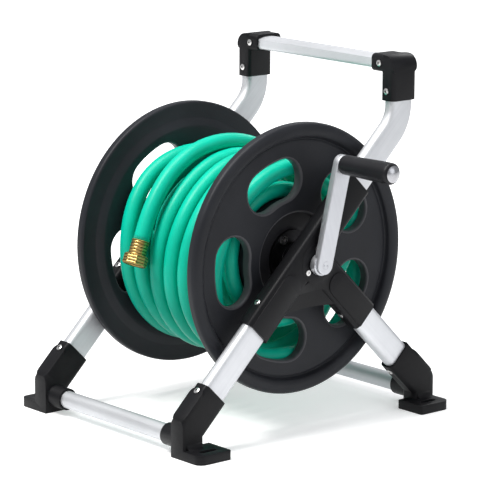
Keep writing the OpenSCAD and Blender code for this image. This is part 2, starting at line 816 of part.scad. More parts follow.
module handle_elbow(side) {
    arm_z = bar_top - bar_h - elbow_wall;
    color(black) on_side(side) difference() {
        intersection() {
            translate([0, handle_y + socket_w / 2, 0]) rotate([90, 0, 0])
                linear_extrude(socket_w) elbow_outline();
            union() {
                translate([side_x, handle_y, elbow_top - elbow_h - 1])
                    linear_extrude(elbow_h + 2) socket_outline();
                translate([0, handle_y, (elbow_top + arm_z) / 2]) slab(elbow_arm_x - 1, bracket_out)
                    rounded(socket_w, elbow_top - arm_z, socket_corner);
            }
        }
        translate([side_x, handle_y, elbow_top - elbow_h - 1])
            linear_extrude(tube_top - elbow_top + elbow_h + 1 + face_gap) tube_outline(fit_gap);
        translate([0, handle_y, bar_top - bar_h / 2]) slab(elbow_arm_x - 1, bar_end + face_gap)
            bar_outline(fit_gap);
        elbow_screw_places() screw_hole();
    }
}

module elbow_screws() {
    color(bright) for (side = [-1, 1]) on_side(side) elbow_screw_places() screw();
}

// Flanges and drum

// Half section of a flange: first number is the radius, second the distance from the reel's middle
module flange_section() {
    rim_in = web_x + rim_dish;
    rim_out = rim_in + rim_w;
    r = flange_d / 2;
    bead = r - bead_depth;
    recess_r = recess_d / 2;
    spigot_r = drum_d / 2 - drum_wall - fit_gap;
    web_out = web_x + web_t;
    polygon(concat(
        [[axle_d / 2 + fit_gap, floor_in], [spigot_r - 3, floor_in], [spigot_r - 3, web_x - spigot_l],
            [spigot_r, web_x - spigot_l], [spigot_r, web_x], [bead - 14, web_x], [bead - 2, rim_in]],
        [[r - 4, rim_in], [r - 1.2, rim_in + 1.2], [r, rim_in + 4]],
        corner_arc(r - 5, rim_out - 5, 5, 0), corner_arc(bead + 5, rim_out - 5, 5, 90),
        [[bead - 1, web_out + 1], [bead - 4, web_out], [recess_r + 2.5, web_out],
            [recess_r + 0.7, web_out - 0.7], [recess_r, web_out - 2.5], [recess_r, floor_out],
            [axle_d / 2 + fit_gap, floor_out]]));
}

// Outline of a window: an arc slot about the axle, with round ends
function window_outline() = let (
    mid = (window_r_in + window_r_out) / 2, half = (window_r_out - window_r_in) / 2, s = window_sweep)
    concat(
        [for (i = [0:4]) let (a = -s + i * s / 2) [window_r_out * cos(a), window_r_out * sin(a)]],
        [for (i = [1:11]) let (a = s + 15 * i) [mid * cos(s) + half * cos(a), mid * sin(s) + half * sin(a)]],
        [for (i = [0:4]) let (a = s - i * s / 2) [window_r_in * cos(a), window_r_in * sin(a)]],
        [for (i = [1:11]) let (a = 180 - s + 15 * i)
            [mid * cos(s) + half * cos(a), -mid * sin(s) + half * sin(a)]]);

module bolt_places(x) {
    for (i = [0:bolt_count - 1])
        on_axle(x) rotate([0, 0, bolt_start + 360 / bolt_count * i])
            translate([bolt_circle_r, 0, 0]) children();
}

module flange(side, start) {
    color(black) on_side(side) difference() {
        on_axle() rotate_extrude($fn = 180) flange_section();
        for (i = [0:window_count - 1])
            on_axle(web_x - 10) rotate([0, 0, start + 360 / window_count * i])
                linear_extrude(web_t + 30) polygon(window_outline());
        bolt_places(floor_in - 1) cylinder(d = bolt_d + 2 * fit_gap, h = floor_t + 2);
    }
}

module drum() {
    color(black) placed() difference() {
        on_axle(-web_x) cylinder(d = drum_d, h = winding_w, $fn = 96);
        on_axle(-web_x - 1) cylinder(d = drum_d - 2 * drum_wall, h = winding_w + 2, $fn = 96);
        lead_place(0) cylinder(d = hose_d + 1, h = drum_d);
    }
}

module tie_bolts() {
    head_h = 3.2;
    end = plate_out + 7;
    color(steel) placed() bolt_places(-end) {
        cylinder(d = bolt_d, h = end + plate_out);
        difference() {
            translate([0, 0, end + plate_out]) cylinder(d = 10.4, h = head_h);
            translate([0, 0, end + plate_out + head_h / 2]) cylinder(d = 4.5, h = head_h, $fn = 6);
        }
    }
}

module tie_nuts() {
    nut_h = 5;
    color(steel) placed() bolt_places(-plate_out - nut_h) difference() {
        cylinder(d = 11, h = nut_h, $fn = 6);
        translate([0, 0, -1]) cylinder(d = bolt_d + 2 * fit_gap, h = nut_h + 2);
    }
}

// Shaft, spindle and the outlet inside the drum

module hub_plate() {
    difference() {
        on_axle(floor_out) cylinder(d = plate_d, h = plate_t);
        bolt_places(floor_out - 1) cylinder(d = bolt_d + 2 * fit_gap, h = plate_t + 2);
    }
}

module crank_shaft() {
    color(steel) placed() difference() {
        union() {
            hub_plate();
            on_axle(floor_in) cylinder(d = axle_d, h = shaft_end - floor_in);
        }
        on_axle(shaft_end - 20) cylinder(d = screw_d + 2, h = 30);
    }
}

module water_spindle() {
    color(brass) on_side(-1) difference() {
        union() {
            hub_plate();
            on_axle(spindle_in) cylinder(d = axle_d, h = spindle_end - spindle_in);
        }
        on_axle(spindle_in - 1) cylinder(d = waterway_d, h = spindle_end - spindle_in + 2);
        for (x = seal_x) on_axle(x - seal_wire / 2) difference() {
            cylinder(d = axle_d + 4, h = seal_wire);
            translate([0, 0, -1]) cylinder(d = axle_d - 2 * seal_wire, h = seal_wire + 2);
        }
    }
}

module spindle_seals() {
    color(rubber) on_side(-1) for (x = seal_x) on_axle(x) rotate_extrude()
        translate([axle_d / 2 - seal_wire / 2, 0]) circle(d = seal_wire, $fn = 24);
}

// Puts a shape that is drawn along +Z on the line of the inner hose
module lead_place(from) {
    translate([-elbow_x, 0, axle_z]) rotate([lead_angle - 90, 0, 0]) translate([0, 0, from]) children();
}

module outlet_elbow() {
    color(brass) placed() difference() {
        union() {
            on_axle(-spindle_in) cylinder(r = elbow_r - elbow_step, h = spindle_in - elbow_x);
            lead_place(-elbow_r) cylinder(r = elbow_r, h = elbow_r + lead_start);
            lead_place(lead_start - elbow_step)
                cylinder(d = hose_bore_d - 2 * fit_gap, h = barb_l + elbow_step);
        }
        on_axle(-spindle_in - 1) cylinder(d = waterway_d, h = spindle_in - elbow_x + 1);
        lead_place(-elbow_step)
            cylinder(d = waterway_d - elbow_step, h = lead_start + barb_l + 2 * elbow_step);
    }
}

module inner_hose() {
    color(green) placed() difference() {
        lead_place(lead_start) cylinder(d = hose_d, h = drum_d / 2 - 1 - lead_start);
        lead_place(lead_start - 1) cylinder(d = hose_bore_d, h = drum_d);
    }
}

module hose_clamp() {
    color(steel) placed() difference() {
        union() {
            lead_place(lead_start + 8) cylinder(d = hose_d + 3, h = 9);
            lead_place(lead_start + 12.5) translate([0, -hose_d / 2 - 2.5, 0])
                cube([12, 6, 8], center = true);
        }
        lead_place(lead_start + 7) cylinder(d = hose_d + 2 * fit_gap, h = 12);
    }
}

// Hose: its lower layers as a plain core, its outer turns, and the coupling on its free end

module hose_core() {
    half = web_x - 3;
    round = 8;
    shoulder_l = 18;
    shoulder_h = norm([head_point[1], head_point[2]]) - core_r + 12;
    color(green) placed() {
        on_axle() rotate_extrude($fn = 120) polygon(concat(
            [[drum_d / 2 + face_gap, -half]],
            corner_arc(core_r - round, round - half, round, 270),
            corner_arc(core_r - round, half - round, round, 0),
            [[drum_d / 2 + face_gap, half]]));
        // Block that stands for the lower layers where the first outer turn comes up from them
        translate([head_point[0], head_point[1], axle_z + head_point[2]])
            rotate([atan2(head[2], head[1]) - 90, 0, 0])
                translate([-hose_d / 2, -shoulder_h, -shoulder_l])
                    cube([hose_d, shoulder_h + hose_d / 2, shoulder_l]);
    }
}

module hose_windings() {
    last = len(path) - 1;
    color(green) placed() translate([0, 0, axle_z]) polyhedron(
        points = [for (i = [0:last]) each ring(i)],
        faces = concat(
            [for (k = [1:tube_sides - 2]) [0, k, k + 1]],
            [for (i = [0:last - 1]) for (k = [0:tube_sides - 1]) let (
                a = i * tube_sides + k, b = i * tube_sides + (k + 1) % tube_sides)
                each [[a, a + tube_sides, b], [b, a + tube_sides, b + tube_sides]]],
            [for (k = [1:tube_sides - 2]) let (z = last * tube_sides) [z, z + k + 1, z + k]]));
}

// Puts a shape that is drawn along +Z on the hose's free end
module at_tail(from) {
    placed() translate([tail_point[0], tail_point[1], axle_z + tail_point[2]])
        rotate([0, acos(tail[2]), atan2(tail[1], tail[0])]) translate([0, 0, from]) children();
}

module hose_ferrule() {
    ring_count = 3;
    groove = 1.2;
    step = (ferrule_l - 4) / ring_count;
    color(brass) difference() {
        at_tail(0) cylinder(d = ferrule_d, h = ferrule_l);
        at_tail(-1) cylinder(r = stem_r + fit_gap, h = ferrule_l + 2);
        for (i = [0:ring_count - 1]) at_tail(3 + step * i) difference() {
            cylinder(d = ferrule_d + 4, h = groove);
            translate([0, 0, -1]) cylinder(d = ferrule_d - 2, h = groove + 2);
        }
    }
}

module coupling_stem() {
    color(brass) difference() {
        union() {
            at_tail(0) cylinder(r = stem_r, h = collar_start + collar_t);
            at_tail(collar_start) cylinder(d = nut_thread_d - 3, h = collar_t);
        }
        at_tail(-1) cylinder(r = stem_r - 1.5, h = collar_start + collar_t + 2);
    }
}

module coupling_washer() {
    color(rubber) difference() {
        at_tail(collar_start + collar_t) cylinder(d = nut_thread_d - 1, h = washer_t);
        at_tail(collar_start) cylinder(r = stem_r - 1, h = collar_t + washer_t + 1);
    }
}

module coupling_nut() {
    chamfer = 2.2;
    across = nut_flats / cos(22.5);
    color(brass) difference() {
        intersection() {
            at_tail(nut_start) cylinder(d = across, h = nut_l, $fn = 8);
            at_tail(nut_start) rotate_extrude() polygon([
                [0, 0], [nut_flats / 2 - 1.5, 0], [across / 2 + 0.1, chamfer],
                [across / 2 + 0.1, nut_l - 1.5], [nut_flats / 2 - 0.8, nut_l], [0, nut_l]]);
        }
        at_tail(nut_start - 1) cylinder(r = stem_r + run_gap, h = nut_l);
        at_tail(nut_start + nut_wall) cylinder(d = nut_thread_d, h = nut_l);
        at_tail(nut_start + nut_wall) cylinder(d = nut_thread_d + 1, h = thread_start - nut_start - nut_wall);
    }
}

// Crank, drawn upright with the axle at the origin and then leaned

module on_crank(r, x) {
    placed() translate([x, 0, axle_z]) rotate([-crank_lean, 0, 0]) translate([0, 0, r])
        rotate([0, 90, 0]) children();
}

module crank_outline(grow = 0) {
    d = arm_w + 2 * grow;
    circle(d = d);
    translate([-crank_r, 0]) circle(d = d);
    translate([-crank_r, -d / 2]) square([crank_r, d]);
}

module crank_arm() {
    color(aluminium) difference() {
        union() {
            on_crank(0, arm_in) linear_extrude(arm_t) crank_outline();
            on_crank(0, arm_in - arm_boss_l + 1) cylinder(d = arm_boss_d, h = arm_boss_l + 4);
        }
        on_crank(0, arm_in - arm_boss_l)
            cylinder(d = axle_d + 2 * fit_gap, h = shaft_end - arm_in + arm_boss_l);
        on_crank(0, arm_in) cylinder(d = screw_d + 2 + 2 * fit_gap, h = arm_t + 1);
        on_crank(0, arm_out - crank_head_h) cylinder(d = crank_head_d + 2 * fit_gap, h = crank_head_h + 1);
        on_crank(crank_r, arm_in - 1) cylinder(d = grip_bolt_d + 2 * fit_gap, h = arm_t + 2);
    }
}

// Screw in the shaft's end, with two small holes in its flush head
module crank_screw() {
    reach = 18;
    color(aluminium) difference() {
        union() {
            on_crank(0, shaft_end - reach) cylinder(d = screw_d + 2, h = arm_out - shaft_end + reach - 0.5);
            on_crank(0, arm_out - crank_head_h) cylinder(d = crank_head_d, h = crank_head_h);
        }
        for (side = [-1, 1]) on_crank(0, arm_out - crank_head_h / 2)
            translate([0, side * crank_head_d / 3.6, 0]) cylinder(d = 2, h = crank_head_h, $fn = 24);
    }
}

module grip_bolt() {
    dome_r = (pow(cap_d / 2, 2) + pow(cap_h, 2)) / (2 * cap_h);
    start = arm_in - grip_nut_h;
    color(bright) {
        on_crank(crank_r, start) cylinder(d = grip_bolt_d, h = cap_end - cap_h - start + 1);
        on_crank(crank_r, cap_end - cap_h) intersection() {
            cylinder(d = cap_d, h = cap_h);
            translate([0, 0, cap_h - dome_r]) sphere(r = dome_r, $fn = 64);
        }
    }
}

module grip_nut() {
    color(steel) difference() {
        on_crank(crank_r, arm_in - grip_nut_h) cylinder(d = 14, h = grip_nut_h, $fn = 6);
        on_crank(crank_r, arm_in - grip_nut_h - 1)
            cylinder(d = grip_bolt_d + 2 * fit_gap, h = grip_nut_h + 2);
    }
}

module grip() {
    r0 = grip_d / 2;
    r1 = grip_max_d / 2;
    body = grip_l - face_gap;
    color(black) on_crank(crank_r, arm_out + 0.5) rotate_extrude($fn = 64) polygon(concat(
        [[grip_bolt_d / 2 + run_gap, 0], [r0 - 1.5, 0], [r0, 1.5], [r0, 4]],
        [for (i = [1:8]) let (t = i / 8) [r0 + (r1 - r0) * ease(t), 4 + (body - 12) * t]],
        corner_arc(r1 - 5, body - 5, 5, 0),
        [[grip_bolt_d / 2 + run_gap, body]]));
}

front_leg(-1);  // front_leg_left
front_leg(1);  // front_leg_right
handle_tube(-1);  // handle_tube_left
handle_tube(1);  // handle_tube_right
rear_leg(-1);  // rear_leg_left
rear_leg(1);  // rear_leg_right
hub_bracket(-1);  // hub_bracket_left
hub_bracket(1);  // hub_bracket_right
axle_housing(-1);  // axle_housing_left
axle_housing(1);  // axle_housing_right
axle_bush(-1);  // axle_bush_left
axle_bush(1);  // axle_bush_right
front_foot(-1);  // front_foot_left
front_foot(1);  // front_foot_right
rear_foot(-1);  // rear_foot_left
rear_foot(1);  // rear_foot_right
front_cross_tube();
rear_cross_tube();
handle_elbow(-1);  // handle_elbow_left
handle_elbow(1);  // handle_elbow_right
handle_bar();
elbow_screws();
foot_screws();
bracket_screws();
hub_screws();
inlet_body();
inlet_screws();
flange(-1, window_start_left);  // flange_left
flange(1, window_start_right);  // flange_right
drum();
tie_bolts();
tie_nuts();
crank_shaft();
water_spindle();
spindle_seals();
outlet_elbow();
inner_hose();
hose_clamp();
hose_core();
hose_windings();
hose_ferrule();
coupling_stem();
coupling_washer();
coupling_nut();
crank_arm();
crank_screw();
grip_bolt();
grip_nut();
grip();
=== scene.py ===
"""Hose reel: materials, detailed pieces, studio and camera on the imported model's frame."""
from math import ceil, cos, hypot, pi, radians, sin

import bmesh
import bpy
from mathutils import Matrix, Vector


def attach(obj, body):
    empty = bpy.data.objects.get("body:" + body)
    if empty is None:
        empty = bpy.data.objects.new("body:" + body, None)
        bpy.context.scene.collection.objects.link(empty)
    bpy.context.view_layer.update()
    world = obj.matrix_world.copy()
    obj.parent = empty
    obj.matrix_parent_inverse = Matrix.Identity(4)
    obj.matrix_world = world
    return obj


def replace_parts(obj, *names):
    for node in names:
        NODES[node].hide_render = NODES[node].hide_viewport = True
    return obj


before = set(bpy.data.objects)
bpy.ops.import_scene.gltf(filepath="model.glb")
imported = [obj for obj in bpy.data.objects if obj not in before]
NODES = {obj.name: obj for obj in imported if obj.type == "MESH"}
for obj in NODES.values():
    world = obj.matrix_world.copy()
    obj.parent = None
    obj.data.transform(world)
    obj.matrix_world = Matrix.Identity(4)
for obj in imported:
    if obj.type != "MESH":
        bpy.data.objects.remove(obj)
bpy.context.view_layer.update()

# Sizes are in millimetres and angles in degrees. Reel axes: X = 0 midway between the flanges
# (+X to the crank), Y = 0 at the axle (-Y to the front), Z = 0 on the floor. The part's own frame
# is moved by MID_X and MID_Y. Angles about the axle start at +Y and go up.
MID_X = 36.55
MID_Y = -5.4
AXLE_Z = 212.0

# Flanges. IN and OUT are distances from the reel's middle along the axle, but radii for windows.
# The web is the flange's flat part, and FLOOR is that of the hub's recess
FLANGE_R = 170.0
WEB_IN = 97.0
WEB_OUT = 110.0
RIM_IN = 103.3
RIM_OUT = 118.5
BEAD_R = 152.0
GROOVE_R = 146.0
RECESS_R = 57.5
FLOOR_IN = 94.0
FLOOR_OUT = 99.0
SHAFT_R = 8.05
WINDOW_IN = 76.0
WINDOW_OUT = 128.5
WINDOW_SWEEP = 9.7
WINDOW_COUNT = 5
# Angle of the first window, by side
WINDOW_START = {1: 38.5, -1: 49.5}
# Rounding of a window's and the recess's edge in front, and of a window's edge behind
LIP_R = 2.6
BACK_LIP_R = 1.4
BOLT_CIRCLE_R = 29.0
BOLT_R = 3.05
BOLT_START = 123.5
BOLT_COUNT = 4
DRUM_R = 70.0
DRUM_WALL = 2.7
# The flange's spigot in the drum
SPIGOT_GAP = 0.05
SPIGOT_WALL = 3.0
SPIGOT_L = 8.0
# Flat faces reach this far beyond the loops that they are filled between
FLAT_MARGIN = 0.4
# Slots of a flange's materials: the lips of its windows and recess, in a paler plastic that paints
# their highlight, and the recess itself, in a copy of the reel plastic that paints its shade
LIP_HIGHLIGHT = 1
RECESS_SHADE = 2

# Crank arm
CRANK_R = 125.6
CRANK_LEAN = 13.8
ARM_W = 23.5
ARM_IN = 155.0
ARM_OUT = 165.0
ARM_EDGE_R = 1.2
BOSS_IN = 151.0
BOSS_OUT = 160.0
BOSS_R = 13.5
BOSS_CHAMFER = 0.8
SHAFT_END = 161.5
SEAT_R = 4.55
SEAT_DEPTH = 1.6
SEAT_CHAMFER = 0.3
SCREW_R = 3.05
GRIP_BOLT_R = 4.05

# Hose
HOSE_D = 20.8
HOSE_SIDES = 28
# Angle from one ring of the wound hose to the next, at most
RING_STEP = 5.0
# Steps of the straight stretch at its free end, which is one diameter long
TAIL_STEPS = 3
TAIL_ANGLE = 164.0
TAIL_HEADING = (0.0589, -0.4015, -0.914)
# Reinforcing yarns crossed in one diameter along the hose, and once round it
YARN_ALONG = 1.2
YARN_AROUND = 8.0

# Outer turns: where they lie, and how they leave the round
FIRST_X = 86.0
WIND_FROM = 55.0
TURN_PITCH = 27.2
TURN_COUNT = 7
TURN_R = 113.8
TURN_OVAL = 7.0
OVAL_AT = 150.0
TURN_SAG = 8.5
TURN_SWELL = 3.0
REAR_BULGE = 16.0
BULGE_AT = 340.0
BULGE_SPAN = 85.0
# The last full turn leans to the left here
TURN_LEAN = 7.0
LEAN_ANGLE = 128.0
LEAN_SPAN = 60.0
# Each turn steps over to the next between these angles
STEP_FROM = 290.0
STEP_TO = 410.0
# Where the hose comes up to its outer turns and in its first turn it stands out: angle, height
REAR_LIFTS = ((35.0, 13.0), (322.0, 14.0))
REAR_LIFT_SPAN = 60.0

# Free end: it climbs over the last full turn, settles on the winding and springs out at its end
FREE_PITCHES = 1.5
FREE_RISE = 12.3
FREE_DRIFT = 5.0
DRIFT_AFTER = 160.0
CLIMB_GAP = 1.2
CLIMB_BEFORE = 35.0
CLIMB_SPAN = 75.0
SETTLE_AFTER = 111.0
SETTLE_SPAN = 60.0
SPRING = 4.0
SPRING_SPAN = 26.0

# Lower turns, on the drum, from the hole in it
LEAD_X = -78.0
LEAD_ANGLE = 168.5
LOWER_TURNS = 8
LOWER_GAP = 0.3
# The hose rises from the lower turns to the outer ones over this angle
RISE_SPAN = 120.0

# Edges sharper than this stay sharp in the shading
SHARP_ANGLE = 35.0
# Edges of the frame's moulded pieces that are sharper than this get a bevel of this width
BEVEL_ANGLE = 40.0
MOULDED_BEVEL = 0.7
WELD_REACH = 0.01

# Looks: scale of brushed grain along the brushing, how dark stains are, and how dark the painted
# shade in hollows and ring grooves is
BRUSH_SCALE = 0.02
STAIN_SHADE = 0.86
HOLLOW_SHADE = 0.10

# Studio floor, with distances in metres: its grey as the object and as the camera sees it, its
# glow for the camera, and the glow added beyond the reach of the object's shadow
STAGE_RINGS = (0.4, 0.8, 1.6, 3.2, 7.0)
STAGE_SIDES = 96
STAGE_GREY = 0.45
STAGE_SEEN_GREY = 0.86
STAGE_GLOW = 0.42
FAR_GLOW = 0.56
FAR_FROM = 0.45
FAR_TO = 1.5
# Surround: its light on the object
SURROUND_TINT = (0.95, 0.97, 1.0)
SURROUND_STRENGTH = 0.41

# Camera fitted to the photo: focal length and width in its pixels, distance in metres
FOCAL_LENGTH = 2761.8
PHOTO_WIDTH = 500.0
SENSOR_WIDTH = 36.0
CAMERA_DISTANCE = 3.4889
CLIP_END = 50.0
AZIMUTH = radians(49.6)
ELEVATION = radians(11.75)
ROLL = radians(0.27)


def at(x, y, z):
    """Point of the reel axes, in millimetres, as a point of the frame in metres."""
    return Vector((x - MID_X, y - MID_Y, z)) * 0.001


def ease(t):
    """Smooth step from 0 to 1 while t goes from 0 to 1."""
    c = min(max(t, 0.0), 1.0)
    return c * c * (3 - 2 * c)


def arc(cx, cy, rx, ry, start, end, count):
    """Points of an elliptic arc, both ends among them, with angles in degrees."""
    return [(cx + rx * cos(radians(start + (end - start) * i / count)),
             cy + ry * sin(radians(start + (end - start) * i / count))) for i in range(count + 1)]


# Shader building

class Shader:
    """Short names for the nodes of one material."""

    def __init__(self, name):
        self.mat = bpy.data.materials.new(name)
        self.mat.use_nodes = True
        self.tree = self.mat.node_tree
        self.tree.nodes.clear()
        self.out = self.tree.nodes.new("ShaderNodeOutputMaterial")
        self.bsdf = self.tree.nodes.new("ShaderNodeBsdfPrincipled")
        self.link(self.bsdf.outputs[0], self.out.inputs[0])

    def node(self, kind, **values):
        n = self.tree.nodes.new("ShaderNode" + kind)
        for key, value in values.items():
            setattr(n, key, value)
        return n

    def link(self, a, b):
        self.tree.links.new(a, b)

    def place(self):
        """Place on the object, in metres."""
        return self.node("TexCoord").outputs["Object"]

    def noise(self, vector, scale, detail, rough=0.55):
        n = self.node("TexNoise")
        n.inputs["Scale"].default_value = scale
        n.inputs["Detail"].default_value = detail
        n.inputs["Roughness"].default_value = rough
        self.link(vector, n.inputs["Vector"])
        return n.outputs["Fac"]

    def spread(self, value, low, high, at_low=0.3, at_high=0.7):
        """Maps a value to the range from low to high."""
        m = self.node("MapRange")
        m.inputs["From Min"].default_value = at_low
        m.inputs["From Max"].default_value = at_high
        m.inputs["To Min"].default_value = low
        m.inputs["To Max"].default_value = high
        self.link(value, m.inputs["Value"])
        return m.outputs[0]

    def mix(self, fac, a, b):
        """Blend of two colours, each a tuple or a socket."""
        m = self.node("Mix", data_type="RGBA")
        self.link(fac, m.inputs["Factor"])
        for value, socket in ((a, m.inputs[6]), (b, m.inputs[7])):
            if isinstance(value, tuple):
                socket.default_value = (*value, 1.0)
            else:
                self.link(value, socket)
        return m.outputs[2]

    def bump(self, height, strength, distance, normal=None):
        b = self.node("Bump")
        b.inputs["Strength"].default_value = strength
        b.inputs["Distance"].default_value = distance
        self.link(height, b.inputs["Height"])
        if normal is not None:
            self.link(normal, b.inputs["Normal"])
        return b.outputs[0]

    def edges(self):
        """About 1 on outer edges and 0 elsewhere."""
        geo = self.node("NewGeometry")
        return self.spread(geo.outputs["Pointiness"], 0.0, 1.0, at_low=0.53, at_high=0.62)

    def set(self, **values):
        for key, value in values.items():
            socket = self.bsdf.inputs[key.replace("_", " ")]
            if isinstance(value, bpy.types.NodeSocket):
                self.link(value, socket)
            else:
                socket.default_value = value


def moulded_plastic(name, base, worn, rough, grain=1500.0, gloss=0.24):
    """Matt moulded plastic with a fine eroded grain, faint flow marks and paler handled edges."""
    s = Shader(name)
    place = s.place()
    flow = s.noise(place, scale=14.0, detail=2.0)
    fine = s.noise(place, scale=grain, detail=2.0, rough=0.6)
    specks = s.noise(place, scale=420.0, detail=4.0, rough=0.7)
    dusty = s.mix(s.spread(flow, 0.0, 0.35), base, worn)
    rub = s.node("Math", operation="MULTIPLY")
    s.link(s.edges(), rub.inputs[0])
    s.link(s.spread(specks, 0.1, 0.55), rub.inputs[1])
    s.set(Base_Color=s.mix(rub.outputs[0], dusty, worn),
          Roughness=s.spread(specks, rough - 0.05, rough + 0.07),
          Normal=s.bump(fine, strength=0.22, distance=0.0003),
          Specular_IOR_Level=gloss)
    return s.mat


def satin_metal(name, base, rough, turn=0.0, along="X"):
    """Satin metal with soft stains and fine scratches, brushed along one axis.

    The axis is that of a frame turned about X by turn, in degrees.
    """
    s = Shader(name)
    place = s.place()
    turned = s.node("Mapping")
    turned.inputs["Rotation"].default_value = (radians(turn), 0.0, 0.0)
    s.link(place, turned.inputs[0])
    stretched = s.node("Mapping")
    stretched.inputs["Scale"].default_value = [BRUSH_SCALE if axis == along else 1.0
                                               for axis in "XYZ"]
    s.link(turned.outputs[0], stretched.inputs[0])
    grain = s.noise(stretched.outputs[0], scale=2600.0, detail=2.0, rough=0.6)
    streaks = s.noise(stretched.outputs[0], scale=500.0, detail=3.0, rough=0.6)
    stain = s.noise(place, scale=18.0, detail=4.0, rough=0.6)
    dark = tuple(c * STAIN_SHADE for c in base)
    s.set(Base_Color=s.mix(s.spread(stain, 0.0, 0.5), base, dark),
          Metallic=1.0,
          Roughness=s.spread(streaks, rough - 0.06, rough + 0.08),
          Normal=s.bump(grain, strength=0.10, distance=0.0002))
    return s.mat


def polished_metal(name, base, tarnish, rough, shade_reach=0.0, rings=None):
    """Turned or plated metal with faint tarnish and, if asked, painted shade in hollows and turned
    rings whose grooves carry painted shade.

    shade_reach is how far the painted shade looks for a neighbouring face, in metres. rings is a
    line's direction and the distance from one ring to the next along it.
    """
    s = Shader(name)
    place = s.place()
    cloud = s.noise(place, scale=90.0, detail=4.0, rough=0.6)
    fine = s.noise(place, scale=1560.0, detail=2.0)
    colour = s.mix(s.spread(cloud, 0.0, 0.6), base, tarnish)
    normal = s.bump(fine, strength=0.05, distance=0.0002)
    # Dark tone of the painted shade in ring grooves and hollows
    dark = tuple(c * HOLLOW_SHADE for c in tarnish)
    if rings:
        direction, pitch = rings
        along = s.node("VectorMath", operation="DOT_PRODUCT")
        s.link(place, along.inputs[0])
        along.inputs[1].default_value = direction
        turns = s.node("Math", operation="MULTIPLY")
        s.link(along.outputs["Value"], turns.inputs[0])
        turns.inputs[1].default_value = 2 * pi / pitch
        wave = s.node("Math", operation="SINE")
        s.link(turns.outputs[0], wave.inputs[0])
        # Ring grooves darkened in colour: painted shade
        groove_shade = s.spread(wave.outputs[0], 0.8, 0.0, at_low=-0.9, at_high=-0.1)
        colour = s.mix(groove_shade, colour, dark)
        height = s.spread(wave.outputs[0], 0.0, 1.0, at_low=-0.9, at_high=0.4)
        normal = s.bump(height, strength=0.45, distance=0.0006, normal=normal)
    # Ambient occlusion darkens hollows such as screw recesses: painted shade
    if shade_reach:
        open_air = s.node("AmbientOcclusion", samples=8)
        open_air.inputs["Distance"].default_value = shade_reach
        painted_hollow_shade = s.spread(open_air.outputs["AO"], 1.0, 0.0, at_low=0.45, at_high=0.75)
        colour = s.mix(painted_hollow_shade, colour, dark)
    s.set(Base_Color=colour,
          Metallic=1.0,
          Roughness=s.spread(cloud, rough - 0.03, rough + 0.09),
          Normal=normal)
    return s.mat


def hose_plastic(name):
    """Soft green PVC with its reinforcing yarn faintly showing, glossy with a slight bloom."""
    s = Shader(name)
    uv = s.node("UVMap")
    uv.uv_map = "along"
    split = s.node("SeparateXYZ")
    s.link(uv.outputs[0], split.inputs[0])

    def yarn(sign):
        """About 1 on the yarns that run round the hose in one of the two ways."""
        lean = s.node("Math", operation="MULTIPLY_ADD")
        s.link(split.outputs["Y"], lean.inputs[0])
        lean.inputs[1].default_value = YARN_AROUND * sign
        s.link(split.outputs["X"], lean.inputs[2])
        turns = s.node("Math", operation="MULTIPLY")
        s.link(lean.outputs[0], turns.inputs[0])
        turns.inputs[1].default_value = 2 * pi
        wave = s.node("Math", operation="SINE")
        s.link(turns.outputs[0], wave.inputs[0])
        return s.spread(wave.outputs[0], 0.0, 1.0, at_low=0.55, at_high=1.0)

    mesh = s.node("Math", operation="MAXIMUM")
    s.link(yarn(1.0), mesh.inputs[0])
    s.link(yarn(-1.0), mesh.inputs[1])
    place = s.place()
    cloud = s.noise(place, scale=22.0, detail=3.0)
    fine = s.noise(place, scale=900.0, detail=3.0, rough=0.6)
    green = s.mix(s.spread(cloud, 0.0, 1.0), (0.0, 0.52, 0.35), (0.0, 0.60, 0.415))
    height = s.node("Math", operation="MULTIPLY_ADD")
    s.link(mesh.outputs[0], height.inputs[0])
    height.inputs[1].default_value = 0.35
    s.link(fine, height.inputs[2])
    shown = s.spread(mesh.outputs[0], 0.0, 0.12, at_low=0.0, at_high=1.0)
    s.set(Base_Color=s.mix(shown, green, (0.0, 0.62, 0.44)),
          Roughness=s.spread(fine, 0.32, 0.44),
          Normal=s.bump(height.outputs[0], strength=0.12, distance=0.0003),
          Subsurface_Weight=0.05,
          Subsurface_Scale=0.003,
          Subsurface_Radius=(0.2, 1.0, 0.6),
          Specular_IOR_Level=0.26)
    return s.mat


def rubber(name):
    """Matt black rubber."""
    s = Shader(name)
    fine = s.noise(s.place(), scale=1200.0, detail=3.0)
    s.set(Base_Color=s.mix(s.spread(fine, 0.0, 1.0), (0.012, 0.012, 0.013), (0.03, 0.03, 0.031)),
          Roughness=s.spread(fine, 0.62, 0.8),
          Normal=s.bump(fine, strength=0.2, distance=0.0003))
    return s.mat


